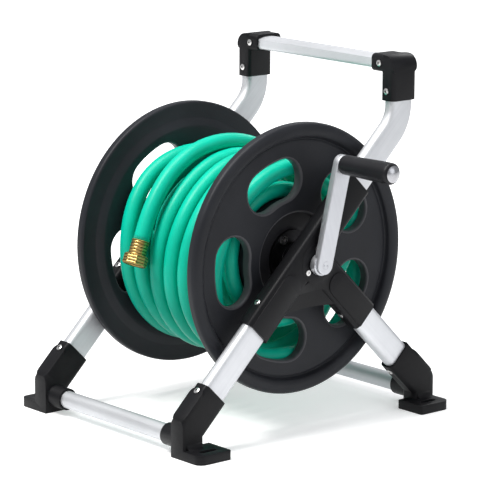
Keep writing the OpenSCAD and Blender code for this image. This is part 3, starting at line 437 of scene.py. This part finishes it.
MATERIALS = {
    "frame_plastic": moulded_plastic(
        "frame_plastic_grained", (0.006, 0.006, 0.007), (0.016, 0.016, 0.019),
        rough=0.42, gloss=0.16),
    "reel_plastic": moulded_plastic(
        "reel_plastic_grained", (0.014, 0.015, 0.019), (0.034, 0.036, 0.044),
        rough=0.47, grain=1300.0),
    # Paler copy of the reel plastic for the lips of the windows and recess: painted highlight on
    # their edges
    "reel_lips_highlight": moulded_plastic(
        "reel_plastic_painted_lip_highlight", (0.075, 0.074, 0.081), (0.12, 0.12, 0.13),
        rough=0.36, grain=1300.0),
    # Copy of the reel plastic with its colour set for the hub recess's look: painted shade in the
    # recess
    "reel_recess_shade": moulded_plastic(
        "reel_plastic_painted_recess_shade", (0.018, 0.018, 0.021), (0.036, 0.036, 0.041),
        rough=0.50, grain=1300.0),
    "grip_plastic": moulded_plastic(
        "grip_plastic_grained", (0.009, 0.009, 0.011), (0.024, 0.024, 0.028),
        rough=0.42, grain=1000.0),
    # One satin aluminium in several copies. Against the legs', the handle bar's is paler, painted
    # light on its top, and the handle tubes' and cross tubes' are darker, painted shade
    "leaning_front": satin_metal(
        "aluminium_front_brushed", (0.72, 0.73, 0.755), rough=0.58, turn=-45.0, along="Y"),
    "leaning_rear": satin_metal(
        "aluminium_rear_brushed", (0.74, 0.75, 0.775), rough=0.58, turn=45.0, along="Y"),
    "handle": satin_metal(
        "aluminium_handle_brushed_painted_darker", (0.68, 0.69, 0.71), rough=0.62, turn=-45.0, along="Y"),
    "cross": satin_metal("aluminium_cross_brushed_painted_darker", (0.64, 0.65, 0.67), rough=0.62),
    "level": satin_metal("aluminium_level_brushed_painted_lighter", (0.77, 0.78, 0.805), rough=0.55),
    "crank": satin_metal(
        "aluminium_crank_satin", (0.62, 0.63, 0.66), rough=0.50, turn=-14.0, along="Z"),
    "steel": polished_metal(
        "steel_zinc_plated", (0.62, 0.62, 0.61), (0.46, 0.46, 0.45), rough=0.30),
    "blackened": polished_metal(
        "steel_blackened", (0.035, 0.035, 0.038), (0.02, 0.02, 0.022), rough=0.42),
    # Screws get painted shade in their recesses
    "screws": polished_metal(
        "screw_steel", (0.80, 0.79, 0.78), (0.62, 0.61, 0.60), rough=0.28, shade_reach=0.0025),
    "chrome": polished_metal("chrome_plated", (0.48, 0.48, 0.50), (0.34, 0.34, 0.36), rough=0.20),
    "brass": polished_metal("brass_turned", (0.83, 0.62, 0.24), (0.66, 0.45, 0.14), rough=0.22),
    # The fitting's ring grooves carry painted shade
    "coupling": polished_metal(
        "brass_turned_rings", (0.72, 0.51, 0.19), (0.56, 0.36, 0.10), rough=0.34,
        rings=(TAIL_HEADING, 0.0038)),
    "rubber": rubber("seal_rubber_matt"),
    "hose": hose_plastic("hose_green"),
}


# Mesh helpers

def mesh_object(name, bm, material):
    """Object made of a mesh in work, which is freed."""
    mesh = bpy.data.meshes.new(name)
    bmesh.ops.recalc_face_normals(bm, faces=bm.faces)
    bm.to_mesh(mesh)
    bm.free()
    mesh.materials.append(material)
    obj = bpy.data.objects.new(name, mesh)
    bpy.context.scene.collection.objects.link(obj)
    return obj


def new_piece(name, bm, material, body):
    """Smooth piece that rides on a body of the frame."""
    obj = mesh_object(name, bm, material)
    for p in obj.data.polygons:
        p.use_smooth = True
    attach(obj, body)
    return obj


def lathe(bm, profile, place, count=256):
    """Turns a profile of (radius, distance along the axle) about the axle; returns its rings."""
    rings = [circle_loop(bm, 0.0, 0.0, r, x, place, count) for r, x in profile]
    for a, b in zip(rings, rings[1:]):
        join_loops(bm, a, b)
    return rings


def circle_loop(bm, y, z, r, x, place, count=32):
    return [bm.verts.new(place(x, y + r * cos(2 * pi * i / count), z + r * sin(2 * pi * i / count)))
            for i in range(count)]


def join_loops(bm, a, b, slot=0):
    for i in range(len(a)):
        j = (i + 1) % len(a)
        bm.faces.new((a[i], a[j], b[j], b[i])).material_index = slot


def edge_between(bm, a, b):
    return bm.edges.get((a, b)) or bm.edges.new((a, b))


def fill_plane(bm, loops):
    """Fills the flat face between loops; returns its triangles."""
    edges = [edge_between(bm, loop[i], loop[(i + 1) % len(loop)])
             for loop in loops for i in range(len(loop))]
    filled = bmesh.ops.triangle_fill(bm, use_beauty=True, use_dissolve=False, edges=edges)
    return [item for item in filled["geom"] if isinstance(item, bmesh.types.BMFace)]


def shading_nodes():
    """Geometry nodes that shade a mesh smooth but keep its edges sharper than SHARP_ANGLE."""
    group = bpy.data.node_groups.new("shade_by_angle", "GeometryNodeTree")
    group.interface.new_socket("Geometry", in_out="INPUT", socket_type="NodeSocketGeometry")
    group.interface.new_socket("Geometry", in_out="OUTPUT", socket_type="NodeSocketGeometry")
    n, link = group.nodes, group.links
    source, target = n.new("NodeGroupInput"), n.new("NodeGroupOutput")
    faces = n.new("GeometryNodeSetShadeSmooth")
    edges = n.new("GeometryNodeSetShadeSmooth")
    edges.domain = "EDGE"
    angle = n.new("GeometryNodeInputMeshEdgeAngle")
    low = n.new("FunctionNodeCompare")
    low.operation = "LESS_THAN"
    low.inputs[1].default_value = radians(SHARP_ANGLE)
    link.new(angle.outputs["Unsigned Angle"], low.inputs[0])
    link.new(source.outputs[0], faces.inputs[0])
    link.new(faces.outputs[0], edges.inputs[0])
    link.new(low.outputs[0], edges.inputs["Shade Smooth"])
    link.new(edges.outputs[0], target.inputs[0])
    return group


SHADING_NODES = shading_nodes()


def shade_by_angle(obj):
    obj.modifiers.new("shade", "NODES").node_group = SHADING_NODES


# Hose. Angles of its winding count on from turn to turn

LAST_STEP = STEP_FROM + 360.0 * (TURN_COUNT - 1)
LEAN_AT = LEAN_ANGLE + 360.0 * (TURN_COUNT - 1)
SETTLE_FROM = LAST_STEP + SETTLE_AFTER
DRIFT_FROM = LAST_STEP + DRIFT_AFTER
CLIMB_FROM = LAST_STEP - CLIMB_BEFORE
CLIMB_RISE = HOSE_D + CLIMB_GAP
LOWER_R = DRUM_R + HOSE_D / 2 + LOWER_GAP
LOWER_FROM = LEAD_ANGLE - 360.0 * LOWER_TURNS
LOWER_TO = WIND_FROM - RISE_SPAN
WIND_TO = TAIL_ANGLE + 360.0 * TURN_COUNT


def steps(a):
    """How many turns over from the first one the outer layer has come."""
    if a < STEP_FROM:
        return 0.0
    turn, rest = divmod(a - STEP_FROM, 360.0)
    return turn + ease(rest / (STEP_TO - STEP_FROM))


def stepped(a, turns_before):
    """How far the step over of a turn has come, for the last or one that many turns before it."""
    return ease((a - LAST_STEP + 360.0 * turns_before) / (STEP_TO - STEP_FROM))


def lean(a):
    """Lean of the last full turn, from 0 to 1."""
    return ease(1 - abs(a - LEAN_AT) / LEAN_SPAN)


def bulge(a):
    """Bulge of a turn behind the axle, from 0 to 1."""
    return ease(1 - abs((a - BULGE_AT + 540.0) % 360.0 - 180.0) / BULGE_SPAN)


def turn_x(a):
    """Place of the hose's centre along the axle, at an angle of its winding."""
    if a < LOWER_TO:
        return LEAD_X + (FIRST_X - LEAD_X) * (a - LOWER_FROM) / (LOWER_TO - LOWER_FROM)
    if a < LAST_STEP:
        return FIRST_X - TURN_PITCH * steps(a) - TURN_LEAN * lean(a)
    drift = FREE_DRIFT * max(0.0, (a - DRIFT_FROM) / (WIND_TO - DRIFT_FROM)) ** 2
    return (FIRST_X - TURN_PITCH * (TURN_COUNT - 1)
            + FREE_PITCHES * TURN_PITCH * stepped(a, 0) + drift)


def layer_radius(a):
    """Radius of the outer turns, loose and slightly oval, sagging below and bulging behind."""
    return (TURN_R + TURN_SWELL * stepped(a, 2) + TURN_LEAN / 2 * lean(a)
            - TURN_OVAL * (1 - stepped(a, 2)) * cos(radians(2 * (a - OVAL_AT)))
            - TURN_SAG * sin(radians(a))
            + REAR_BULGE * (1 - stepped(a, 3)) * bulge(a))


def turn_radius(a):
    """Distance of the hose's centre from the axle, at an angle of its winding."""
    over = layer_radius(a) + CLIMB_RISE * ease((a - CLIMB_FROM) / CLIMB_SPAN)
    free = TURN_R + FREE_RISE + SPRING * max(0.0, 1 + (a - WIND_TO) / SPRING_SPAN) ** 2
    outer = over + (free - over) * ease((a - SETTLE_FROM) / SETTLE_SPAN)
    for middle, height in REAR_LIFTS:
        outer += height * ease(1 - abs(a - middle) / REAR_LIFT_SPAN)
    return LOWER_R + (outer - LOWER_R) * ease((a - LOWER_TO) / (WIND_FROM - LOWER_TO))


def wound(a):
    """Point of the hose's centre line at an angle of its winding, with Z from the axle."""
    r = turn_radius(a)
    return Vector((turn_x(a), r * cos(radians(a)), r * sin(radians(a))))


def hose_route():
    """Centre line of the whole hose from the drum's hole, its outward sides, and its end's way."""
    count = ceil((WIND_TO - LOWER_FROM) / RING_STEP)
    angles = [LOWER_FROM + (WIND_TO - LOWER_FROM) * i / count for i in range(count + 1)]
    points = [wound(a) for a in angles]
    near = 0.5
    tail = (wound(WIND_TO + near) - wound(WIND_TO - near)).normalized()
    for i in range(1, TAIL_STEPS + 1):
        points.append(wound(WIND_TO) + tail * HOSE_D * i / TAIL_STEPS)
        angles.append(WIND_TO)
    outward = [Vector((0, cos(radians(a)), sin(radians(a)))) for a in angles]
    return points, outward, tail


def hose_rings(bm, points, outward, tail):
    """Rings of points round the hose, each with its distance from the inner end."""
    rings = []
    run = 0.0
    for i, p in enumerate(points):
        before, after = points[max(i - 1, 0)], points[min(i + 1, len(points) - 1)]
        ahead = (after - before).normalized() if i < len(points) - TAIL_STEPS - 1 else tail
        side = ahead.cross(outward[i]).normalized()
        up = side.cross(ahead)
        if i:
            run += (p - points[i - 1]).length
        ring = []
        for k in range(HOSE_SIDES):
            t = 2 * pi * k / HOSE_SIDES
            q = p + HOSE_D / 2 * (cos(t) * up + sin(t) * side)
            ring.append(bm.verts.new(at(q.x, q.y, AXLE_Z + q.z)))
        rings.append((ring, run))
    return rings


def hose():
    """The whole hose as one piece, which carries the fitting at its far end."""
    points, outward, tail = hose_route()
    bm = bmesh.new()
    rings = hose_rings(bm, points, outward, tail)
    layer = bm.loops.layers.uv.new("along")
    for (a, run_a), (b, run_b) in zip(rings, rings[1:]):
        for k in range(HOSE_SIDES):
            j = (k + 1) % HOSE_SIDES
            face = bm.faces.new((a[k], a[j], b[j], b[k]))
            corners = ((k, run_a), (k + 1, run_a), (k + 1, run_b), (k, run_b))
            for loop, (turn, run) in zip(face.loops, corners):
                loop[layer].uv = (run / HOSE_D * YARN_ALONG, turn / HOSE_SIDES)
    bm.faces.new(rings[0][0][::-1])
    bm.faces.new(rings[-1][0])
    piece = new_piece("garden_hose", bm, MATERIALS["hose"], "reel")
    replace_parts(piece, "hose_core", "hose_windings")


# Flanges

def window_loop(bm, start, offset, x, place):
    """Outline of a window at the distance x along the axle, grown outwards by offset."""
    arc_steps = 8
    end_steps = 14
    s = WINDOW_SWEEP
    mid = (WINDOW_IN + WINDOW_OUT) / 2
    half = (WINDOW_OUT - WINDOW_IN) / 2 + offset
    end_y, end_z = mid * cos(radians(s)), mid * sin(radians(s))
    flat = arc(0, 0, mid + half, mid + half, -s, s, arc_steps)
    flat += arc(end_y, end_z, half, half, s, s + 180, end_steps)[1:-1]
    flat += arc(0, 0, mid - half, mid - half, s, -s, arc_steps)
    flat += arc(end_y, -end_z, half, half, 180 - s, 360 - s, end_steps)[1:-1]
    c, d = cos(radians(start)), sin(radians(start))
    return [bm.verts.new(place(x, u * c - v * d, u * d + v * c)) for u, v in flat]


def rim_profile():
    """From the outer flat face over the bead, round the rim and back to the inner flat face."""
    groove_w, groove_depth = 3.2, 1.6
    bead_top_r, bead_w, bead_base = 160.0, 8.4, WEB_OUT + 3.0
    crown_r, crown_base = 161.5, WEB_OUT + 2.0
    corner_r = 3.5
    profile = [(GROOVE_R - 3.0, WEB_OUT), (GROOVE_R, WEB_OUT)]
    profile += arc(GROOVE_R, WEB_OUT - groove_depth, groove_w, groove_depth, 90, 20, 4)[1:]
    profile += [(BEAD_R - 1.8, WEB_OUT - 0.4), (BEAD_R - 0.8, WEB_OUT + 2.2)]
    profile += arc(bead_top_r, bead_base, bead_w, RIM_OUT - bead_base, 170, 90, 8)
    profile += arc(crown_r, crown_base, FLANGE_R - crown_r, RIM_OUT - crown_base, 90, 0, 9)[1:]
    profile += arc(FLANGE_R - corner_r, RIM_IN + corner_r, corner_r, corner_r, 0, -90, 6)
    profile += [(BEAD_R - 2.0, RIM_IN), (BEAD_R - 4.0, RIM_IN - 1.0),
                (BEAD_R - 12.0, WEB_IN + 0.4), (BEAD_R - 14.0, WEB_IN), (BEAD_R - 17.0, WEB_IN)]
    return profile


def hub_profile():
    """From the outer flat face over the recess's lip and down to its floor."""
    root_r = 1.2
    floor_ring_r = 40.0
    profile = [(RECESS_R + 5.0, WEB_OUT), (RECESS_R + LIP_R, WEB_OUT)]
    profile += arc(RECESS_R + LIP_R, WEB_OUT - LIP_R, LIP_R, LIP_R, 90, 180, 6)[1:]
    profile += [(RECESS_R, FLOOR_OUT + root_r)]
    profile += arc(RECESS_R - root_r, FLOOR_OUT + root_r, root_r, root_r, 0, -90, 4)[1:]
    profile += [(RECESS_R - root_r - FLAT_MARGIN, FLOOR_OUT), (floor_ring_r, FLOOR_OUT)]
    return profile


def bore_profile():
    """The shaft's hole, with a chamfer at both ends."""
    chamfer = 0.6
    return [(SHAFT_R + chamfer, FLOOR_OUT), (SHAFT_R, FLOOR_OUT - chamfer),
            (SHAFT_R, FLOOR_IN + chamfer), (SHAFT_R + chamfer, FLOOR_IN)]


def spigot_profile():
    """From the hub's inner face over the spigot that enters the drum to the inner flat face."""
    chamfer = 0.8
    r = DRUM_R - DRUM_WALL - SPIGOT_GAP
    end = WEB_IN - SPIGOT_L
    return [(r - 2 * SPIGOT_WALL, FLOOR_IN), (r - SPIGOT_WALL, FLOOR_IN), (r - SPIGOT_WALL, end),
            (r - chamfer, end), (r, end + chamfer), (r, WEB_IN), (DRUM_R + 3.0, WEB_IN)]


def window_profile():
    """Section of a window's edge from front to back: growth of its outline, place on the axle."""
    profile = [(LIP_R + FLAT_MARGIN, WEB_OUT)]
    profile += [(LIP_R - LIP_R * sin(radians(t)), WEB_OUT - LIP_R + LIP_R * cos(radians(t)))
                for t in (0, 18, 36, 54, 72, 90)]
    profile += [(BACK_LIP_R - BACK_LIP_R * cos(radians(t)),
                 WEB_IN + BACK_LIP_R - BACK_LIP_R * sin(radians(t))) for t in (0, 30, 60, 90)]
    return profile + [(BACK_LIP_R + FLAT_MARGIN, WEB_IN)]


def flange(side, name):
    """Flange with a bead round its rim, five windows with rounded lips and a recessed hub."""
    bm = bmesh.new()

    def place(x, y, z):
        return at(side * x, y, AXLE_Z + z)

    rim = lathe(bm, rim_profile(), place)
    hub = lathe(bm, hub_profile(), place)
    # Faces of the recess's lip take the paler plastic, a painted highlight; faces inside the recess
    # take the copy that paints its shade
    for face in bm.faces:
        middle = face.calc_center_median() - at(0, 0, AXLE_Z)
        r = hypot(middle.y, middle.z) * 1000
        if r < RECESS_R + LIP_R:
            face.material_index = LIP_HIGHLIGHT if r > RECESS_R else RECESS_SHADE
    bore = lathe(bm, bore_profile(), place, 64)
    spigot = lathe(bm, spigot_profile(), place)
    front_windows, back_windows = [], []
    for i in range(WINDOW_COUNT):
        start = WINDOW_START[side] + 360.0 / WINDOW_COUNT * i
        loops = [window_loop(bm, start, grow, x, place) for grow, x in window_profile()]
        # Window walls and lips in the paler plastic: painted highlight
        for a, b in zip(loops, loops[1:]):
            join_loops(bm, a, b, LIP_HIGHLIGHT)
        front_windows.append(loops[0])
        back_windows.append(loops[-1])
    front_bolts, back_bolts = [], []
    for i in range(BOLT_COUNT):
        t = radians(BOLT_START + 360.0 / BOLT_COUNT * i)
        y, z = BOLT_CIRCLE_R * cos(t), BOLT_CIRCLE_R * sin(t)
        a = circle_loop(bm, y, z, BOLT_R, FLOOR_OUT, place)
        b = circle_loop(bm, y, z, BOLT_R, FLOOR_IN, place)
        join_loops(bm, a, b)
        front_bolts.append(a)
        back_bolts.append(b)
    fill_plane(bm, [rim[0], hub[0]] + front_windows)
    fill_plane(bm, [rim[-1], spigot[-1]] + back_windows)
    # Recess floor in the copy of the plastic that paints its shade
    for face in fill_plane(bm, [hub[-1], bore[0]] + front_bolts):
        face.material_index = RECESS_SHADE
    fill_plane(bm, [spigot[0], bore[-1]] + back_bolts)
    piece = new_piece(name, bm, MATERIALS["reel_plastic"], "reel")
    piece.data.materials.append(MATERIALS["reel_lips_highlight"])
    piece.data.materials.append(MATERIALS["reel_recess_shade"])
    return piece


# Crank arm

def crank_arm():
    """Flat cast arm with softly rounded edges, a boss behind it and a flush seat for its screw."""
    lean_by = radians(CRANK_LEAN)
    bm = bmesh.new()

    def place(x, across, out):
        return at(x, across * cos(lean_by) + out * sin(lean_by),
                  AXLE_Z + out * cos(lean_by) - across * sin(lean_by))

    def capsule(x, inset):
        r = ARM_W / 2 - inset
        flat = arc(0, CRANK_R, r, r, 0, 180, 24) + arc(0, 0, r, r, 180, 360, 24)
        return [bm.verts.new(place(x, u, v)) for u, v in flat]

    def ring(x, r, out=0.0):
        return circle_loop(bm, 0.0, out, r, x, place, count=48)

    def chain(loops):
        for a, b in zip(loops, loops[1:]):
            join_loops(bm, a, b)
        return loops

    soft = ARM_EDGE_R
    front = [(ARM_OUT - soft + soft * cos(radians(t)), soft - soft * sin(radians(t)))
             for t in (0, 22, 45, 67, 90)]
    back = [(ARM_IN + soft - soft * sin(radians(t)), soft - soft * cos(radians(t)))
            for t in (0, 30, 60, 90)]
    edge = chain([capsule(ARM_OUT, soft + FLAT_MARGIN)]
                 + [capsule(x, inset) for x, inset in front + back]
                 + [capsule(ARM_IN, soft + FLAT_MARGIN)])
    seat_floor = ARM_OUT - SEAT_DEPTH
    seat = chain([ring(ARM_OUT, SEAT_R + SEAT_CHAMFER), ring(ARM_OUT - SEAT_CHAMFER, SEAT_R),
                  ring(seat_floor, SEAT_R), ring(seat_floor, SCREW_R),
                  ring(SHAFT_END, SCREW_R), ring(SHAFT_END, SHAFT_R), ring(ARM_IN, SHAFT_R)])
    hole = chain([ring(ARM_OUT, GRIP_BOLT_R, CRANK_R), ring(ARM_IN, GRIP_BOLT_R, CRANK_R)])
    fill_plane(bm, [edge[0], seat[0], hole[0]])
    fill_plane(bm, [edge[-1], seat[-1], hole[-1]])
    boss_r = BOSS_R - BOSS_CHAMFER
    boss = chain([ring(BOSS_IN, SHAFT_R), ring(BOSS_IN, boss_r),
                  ring(BOSS_IN + 0.25, BOSS_R - 0.25), ring(BOSS_IN + BOSS_CHAMFER, BOSS_R),
                  ring(BOSS_OUT - BOSS_CHAMFER, BOSS_R),
                  ring(BOSS_OUT, boss_r), ring(BOSS_OUT, SHAFT_R)])
    join_loops(bm, boss[-1], boss[0])
    piece = new_piece("crank_arm_cast", bm, MATERIALS["crank"], "reel")
    shade_by_angle(piece)
    return piece


# CAD pieces that keep their shape, by material

FINISH = {
    "leaning_front": ("front_leg_left", "front_leg_right"),
    "handle": ("handle_tube_left", "handle_tube_right"),
    "leaning_rear": ("rear_leg_left", "rear_leg_right"),
    "level": ("handle_bar",),
    "cross": ("front_cross_tube", "rear_cross_tube"),
    "frame_plastic": (
        "hub_bracket_left", "hub_bracket_right", "axle_housing_left", "axle_housing_right",
        "front_foot_left", "front_foot_right", "rear_foot_left", "rear_foot_right",
        "handle_elbow_left", "handle_elbow_right", "inlet_body"),
    "reel_plastic": ("drum",),
    "grip_plastic": ("grip",),
    "crank": ("crank_screw",),
    "blackened": ("crank_shaft",),
    "steel": ("axle_bush_left", "axle_bush_right", "tie_nuts", "grip_nut", "hose_clamp"),
    "screws": ("elbow_screws", "foot_screws", "bracket_screws", "hub_screws", "inlet_screws",
               "tie_bolts"),
    "chrome": ("grip_bolt",),
    "brass": ("water_spindle", "outlet_elbow", "coupling_stem"),
    "coupling": ("hose_ferrule", "coupling_nut"),
    "rubber": ("spindle_seals", "coupling_washer"),
    "hose": ("inner_hose",),
}


def finish_node(name, material, bevel):
    """Gives a CAD node its material, smooth shading and softened edges, of width bevel if any."""
    obj = NODES[name]
    mesh = obj.data
    mesh.materials.clear()
    mesh.materials.append(material)
    if "custom_normal" in mesh.attributes:
        mesh.attributes.remove(mesh.attributes["custom_normal"])
    weld = obj.modifiers.new("weld", "WELD")
    weld.merge_threshold = WELD_REACH / 1000
    if bevel:
        edges = obj.modifiers.new("soft_edges", "BEVEL")
        edges.width = bevel / 1000
        edges.segments = 2
        edges.limit_method = "ANGLE"
        edges.angle_limit = radians(BEVEL_ANGLE)
        edges.miter_outer = "MITER_ARC"
    shade_by_angle(obj)


def finish_nodes():
    for material, names in FINISH.items():
        bevel = MOULDED_BEVEL if material == "frame_plastic" else 0.0
        for name in names:
            finish_node(name, MATERIALS[material], bevel)


# Studio

def floor_material():
    """White that the camera and reflections see brighter than the object does."""
    mat = bpy.data.materials.new("studio_floor_white")
    mat.use_nodes = True
    tree = mat.node_tree
    tree.nodes.clear()
    new, link = tree.nodes.new, tree.links.new
    out = new("ShaderNodeOutputMaterial")
    paint = new("ShaderNodeBsdfPrincipled")
    paint.inputs["Roughness"].default_value = 0.9
    glow = new("ShaderNodeEmission")
    path = new("ShaderNodeLightPath")
    seen = new("ShaderNodeMath")
    seen.operation = "MAXIMUM"
    link(path.outputs["Is Camera Ray"], seen.inputs[0])
    link(path.outputs["Is Glossy Ray"], seen.inputs[1])
    colour = new("ShaderNodeMix")
    colour.data_type = "RGBA"
    colour.inputs[6].default_value = (STAGE_GREY, STAGE_GREY, STAGE_GREY, 1)
    colour.inputs[7].default_value = (STAGE_SEEN_GREY, STAGE_SEEN_GREY, STAGE_SEEN_GREY, 1)
    link(seen.outputs[0], colour.inputs["Factor"])
    link(colour.outputs[2], paint.inputs["Base Color"])
    place = new("ShaderNodeTexCoord")
    distance = new("ShaderNodeVectorMath")
    distance.operation = "LENGTH"
    link(place.outputs["Object"], distance.inputs[0])
    brighter = new("ShaderNodeMapRange")
    brighter.interpolation_type = "SMOOTHSTEP"
    brighter.inputs["From Min"].default_value = FAR_FROM
    brighter.inputs["From Max"].default_value = FAR_TO
    brighter.inputs["To Min"].default_value = 0.0
    brighter.inputs["To Max"].default_value = FAR_GLOW
    link(distance.outputs["Value"], brighter.inputs["Value"])
    far = new("ShaderNodeMath")
    far.operation = "MULTIPLY"
    link(brighter.outputs[0], far.inputs[0])
    link(path.outputs["Is Camera Ray"], far.inputs[1])
    level = new("ShaderNodeMath")
    level.operation = "MULTIPLY_ADD"
    level.inputs[1].default_value = STAGE_GLOW
    link(seen.outputs[0], level.inputs[0])
    link(far.outputs[0], level.inputs[2])
    link(level.outputs[0], glow.inputs["Strength"])
    add = new("ShaderNodeAddShader")
    link(paint.outputs[0], add.inputs[0])
    link(glow.outputs[0], add.inputs[1])
    link(add.outputs[0], out.inputs[0])
    return mat


def floor():
    """Round floor that is seen as pure white but for the object's shadow."""
    bm = bmesh.new()
    turns = [2 * pi * i / STAGE_SIDES for i in range(STAGE_SIDES)]
    rings = [[bm.verts.new((r * cos(t), r * sin(t), 0.0)) for t in turns] for r in STAGE_RINGS]
    bm.faces.new(rings[0])
    for a, b in zip(rings, rings[1:]):
        join_loops(bm, a, b)
    mesh_object("studio_floor", bm, floor_material())


def surround():
    """Pure white surround for the camera, and a soft cool light for the object."""
    world = bpy.data.worlds.new("studio_surround")
    bpy.context.scene.world = world
    world.use_nodes = True
    tree = world.node_tree
    tree.nodes.clear()
    new, link = tree.nodes.new, tree.links.new
    out = new("ShaderNodeOutputWorld")
    soft = new("ShaderNodeBackground")
    soft.inputs["Color"].default_value = (*SURROUND_TINT, 1)
    soft.inputs["Strength"].default_value = SURROUND_STRENGTH
    white = new("ShaderNodeBackground")
    white.inputs["Strength"].default_value = 1.0
    path = new("ShaderNodeLightPath")
    seen = new("ShaderNodeMath")
    seen.operation = "MAXIMUM"
    link(path.outputs["Is Camera Ray"], seen.inputs[0])
    link(path.outputs["Is Transmission Ray"], seen.inputs[1])
    mix = new("ShaderNodeMixShader")
    link(seen.outputs[0], mix.inputs[0])
    link(soft.outputs[0], mix.inputs[1])
    link(white.outputs[0], mix.inputs[2])
    link(mix.outputs[0], out.inputs[0])


# Ways from the object: to the camera, and right and up in its picture; and what it looks at
BACK = Vector((sin(AZIMUTH) * cos(ELEVATION), -cos(AZIMUTH) * cos(ELEVATION), sin(ELEVATION)))
RIGHT = Vector((cos(AZIMUTH), sin(AZIMUTH), 0.0))
UP = BACK.cross(RIGHT)
TARGET = at(13.2, 7.4, 216.7)


def camera():
    data = bpy.data.cameras.new("camera")
    data.sensor_width = SENSOR_WIDTH
    data.lens = FOCAL_LENGTH / PHOTO_WIDTH * SENSOR_WIDTH
    data.clip_end = CLIP_END
    cam = bpy.data.objects.new("camera", data)
    bpy.context.scene.collection.objects.link(cam)
    c, s = cos(ROLL), sin(ROLL)
    right = RIGHT * c + UP * s
    up = UP * c - RIGHT * s
    turn = Matrix((right, up, BACK)).transposed()
    cam.matrix_world = Matrix.Translation(TARGET + BACK * CAMERA_DISTANCE) @ turn.to_4x4()
    bpy.context.scene.camera = cam


def lamp(name, right, up, back, size, energy, colour=(1.0, 1.0, 1.0)):
    """Area light that looks at the object, placed by metres right of, above and before it."""
    data = bpy.data.lights.new(name, "AREA")
    data.shape = "DISK"
    data.size = size
    data.energy = energy
    data.color = colour
    obj = bpy.data.objects.new(name, data)
    bpy.context.scene.collection.objects.link(obj)
    level = Vector((BACK.x, BACK.y, 0.0)).normalized()
    place = TARGET + RIGHT * right + Vector((0, 0, up)) + level * back
    turn = (place - TARGET).to_track_quat("Z", "Y").to_matrix()
    obj.matrix_world = Matrix.Translation(place) @ turn.to_4x4()


def lights():
    lamp("key_left", right=-1.5, up=2.6, back=0.9, size=0.9, energy=70.0, colour=(1.0, 0.985, 0.96))
    lamp("fill_right", right=1.9, up=0.7, back=1.2, size=1.4, energy=7.0, colour=(0.95, 0.97, 1.0))
    lamp("top", right=-0.3, up=2.2, back=0.1, size=1.2, energy=30.0)
    lamp("back_rim", right=0.8, up=1.4, back=-1.8, size=1.2, energy=9.0)


camera()
hose()
left_flange = flange(-1, "flange_left_moulded")
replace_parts(left_flange, "flange_left")
right_flange = flange(1, "flange_right_moulded")
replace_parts(right_flange, "flange_right")
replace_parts(crank_arm(), "crank_arm")
finish_nodes()
floor()
surround()
lights()

bpy.context.scene.view_settings.view_transform = "Standard"
